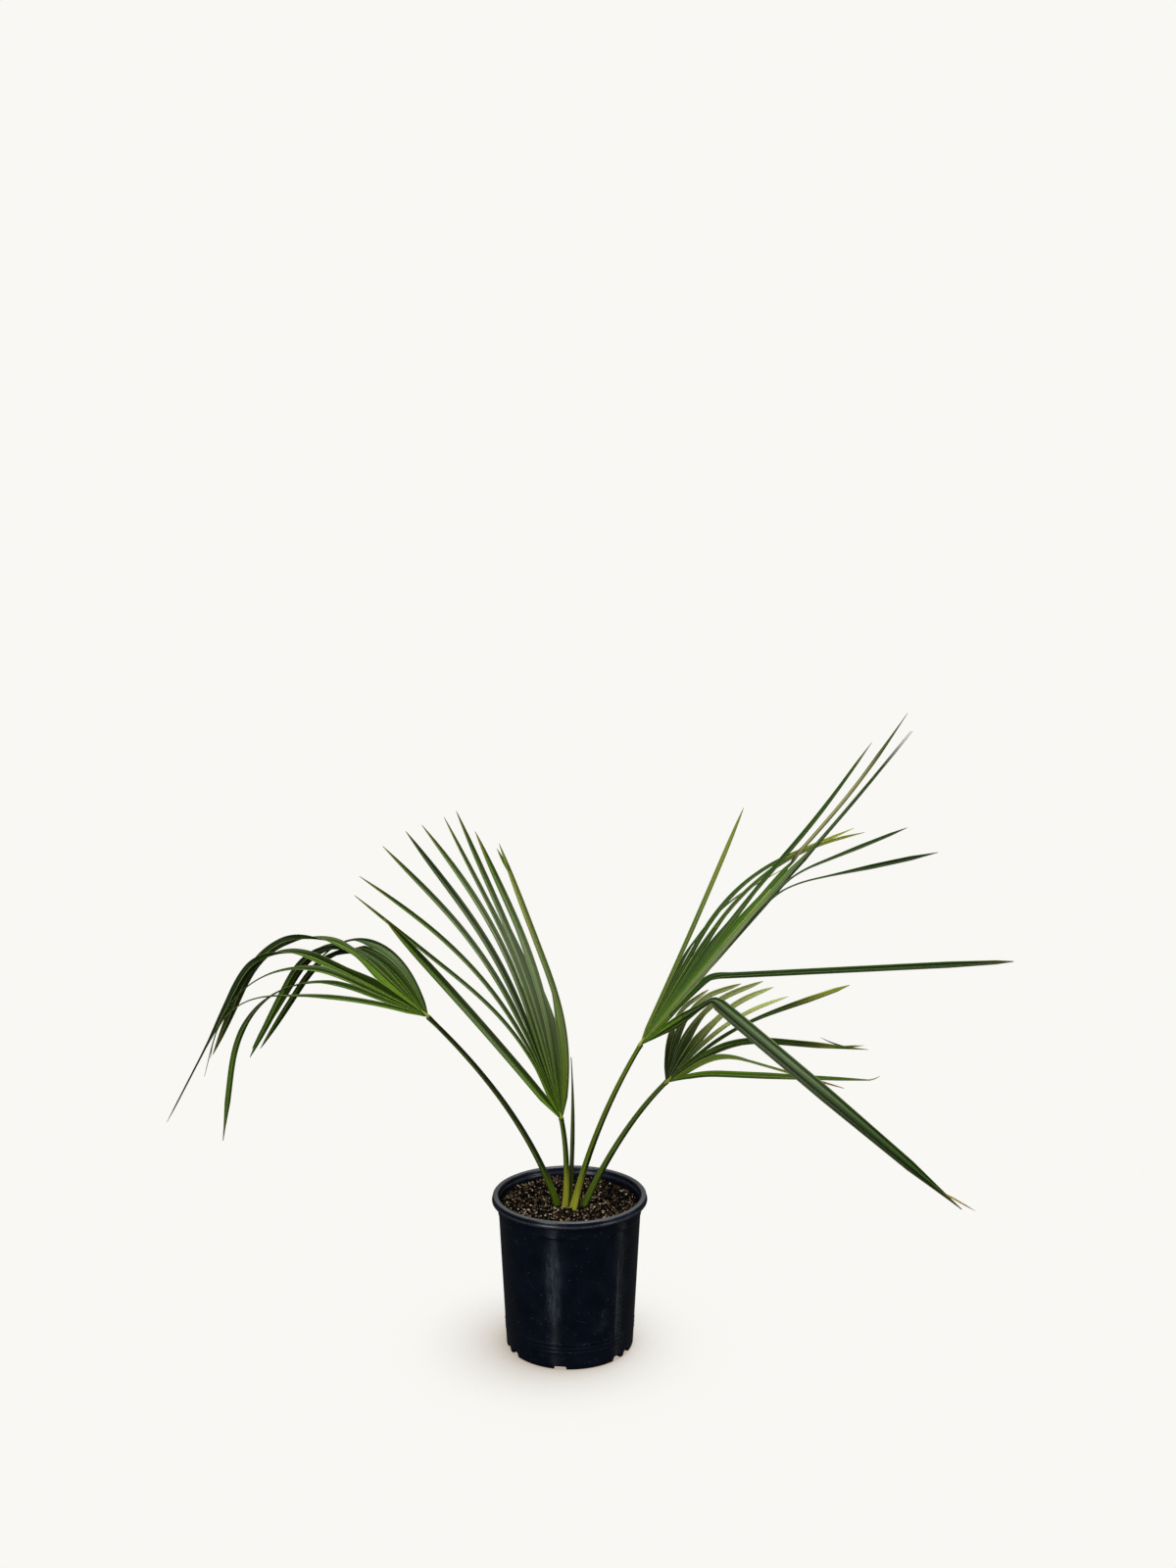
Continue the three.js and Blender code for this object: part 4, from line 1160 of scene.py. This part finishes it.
def make_soil():
    soil = object_of("potting_mix", soil_mesh())
    soil.data.materials.append(bark_finish("potting_mix", (3, 2, 1), (16, 12, 9), 0.95))
    soil.data.shade_smooth()
    bark = [bark_finish("bark_dark", (3, 2, 1), (28, 21, 15)),
            bark_finish("bark_brown", (44, 33, 24), (146, 116, 86)),
            bark_finish("bark_light", (112, 92, 70), (232, 212, 182))]
    perlite = [bark_finish("perlite", (176, 166, 150), (226, 220, 208), 0.9)]
    kinds = (
        ("bark_chunks", bark, (0.55, 0.3, 0.15), 11000.0, (1.5, 1, 0.8), (4, 2, 1.5), 0.8, 0.9, 21),
        ("bark_chips", bark, (0.55, 0.31, 0.14), 52000.0, (1.2, 0.5, 0.4), (3.4, 1.4, 1.1), 0.95, 0.7, 5),
        ("bark_crumbs", bark, (0.6, 0.28, 0.12), 100000.0, (0.4, 0.4, 0.3), (1.3, 0.9, 0.8), 1.4, 0.9, 9),
        ("perlite_grains", perlite, (1.0,), 2200.0, (0.7, 0.7, 0.6), (1.7, 1.5, 1.3), 1.2, 1.2, 14),
    )
    for name, materials, shares, density, smallest, largest, tilt, lift, seed in kinds:
        bits = through_nodes(name, soil.data.copy(), bits_tree(name, materials, shares), Density=density,
                             Smallest=[size * MM for size in smallest], Largest=[size * MM for size in largest],
                             Tilt=tilt, Lift=lift * MM, Seed=seed, Edge_Radius=BITS_REACH * MM,
                             Roughness=0.9 * MM)
        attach(bits, "root")
    place_piece(soil, "potting_mix", "soil")


# Camera, light and floor

def make_camera():
    data = bpy.data.cameras.new("camera")
    data.sensor_width = SENSOR
    data.lens = SENSOR * FOCAL_PIXELS / PICTURE_HEIGHT
    camera = object_of("camera", data)
    camera.location = CAMERA_PLACE
    camera.rotation_euler = (math.radians(90 - CAMERA_PITCH), 0, 0)
    bpy.context.scene.camera = camera


def area_light(name, place, target, width, height, watts, shade=(1, 1, 1)):
    data = bpy.data.lights.new(name, "AREA")
    data.shape = "RECTANGLE"
    data.size, data.size_y, data.energy, data.color = width, height, watts, shade
    light = object_of(name, data)
    light.location = place
    light.rotation_euler = (Vector(target) - Vector(place)).to_track_quat("-Z", "Y").to_euler()


def make_floor():
    """A pale floor as evenly lit as the backdrop, with a soft shadow where the pot stands on it."""
    corners = [(x * FLOOR_REACH, y * FLOOR_REACH, 0) for x, y in ((-1, -1), (1, -1), (1, 1), (-1, 1))]
    floor = object_of("floor", mesh_of("floor", corners, [(0, 1, 2, 3)]))
    w = Finish("floor_paper", Roughness=1, Specular_IOR_Level=0, Base_Color=(0, 0, 0, 1), Emission_Strength=1)
    near = w.node("ShaderNodeAmbientOcclusion", {"Distance": SHADOW_REACH, "Normal": w.combine(*SHADOW_LEAN)},
                  "AO", samples=12)
    shade = w.ramp(near, 0.35, 0.97, 1, 0) * 0.75
    floor.data.materials.append(w.show(Emission_Color=w.blend(shade, BACKDROP, (150, 130, 106))))
    floor.visible_diffuse = floor.visible_glossy = floor.visible_shadow = False


def make_studio():
    middle, foot, cool = (0, 0, 0.42), (0, 0, 0.1), (0.9, 0.95, 1)
    area_light("top_light", (0.35, -0.2, 2.3), middle, 1.0, 0.8, 30)
    area_light("key_light", (-1.1, -1.9, 1.35), middle, 0.6, 1.5, 19)
    area_light("fill_light", (1.9, -1.2, 1.1), middle, 0.5, 1.4, 7, (1, 0.97, 0.93))
    area_light("front_strip", (-1.0, -2.05, -0.1), foot, 0.16, 2.4, 2.4, cool)
    area_light("side_strip", (2.1, 0.15, -0.1), foot, 0.08, 2.6, 0.8, cool)
    scene = bpy.context.scene
    world = scene.world = bpy.data.worlds.new("studio")
    world.use_nodes = True
    w = Wiring(world.node_tree)
    base = w.tree.nodes["Background"]
    base.inputs["Color"].default_value = linear(*BACKDROP)
    way = w.node("ShaderNodeSeparateXYZ", {0: w.node("ShaderNodeTexCoord", gives="Generated")}, "Z")
    around = w.node("ShaderNodeBackground", {0: linear(226, 226, 222), 1: w.ramp(way, -0.3, 0.9, 0.05, 0.5)})
    to_camera = w.node("ShaderNodeLightPath", gives="Is Camera Ray")
    both = w.node("ShaderNodeMixShader", {0: to_camera, 1: around, 2: Value(w, base.outputs[0])})
    w.feed(w.tree.nodes["World Output"].inputs[0], both)
    scene.view_settings.view_transform = "Standard"
    scene.view_settings.look = "None"


make_camera()
make_studio()
make_floor()
make_fronds()
make_petioles()
make_spear()
make_soil()
place_piece(make_pot(pot_finish()), "pot", "pot")
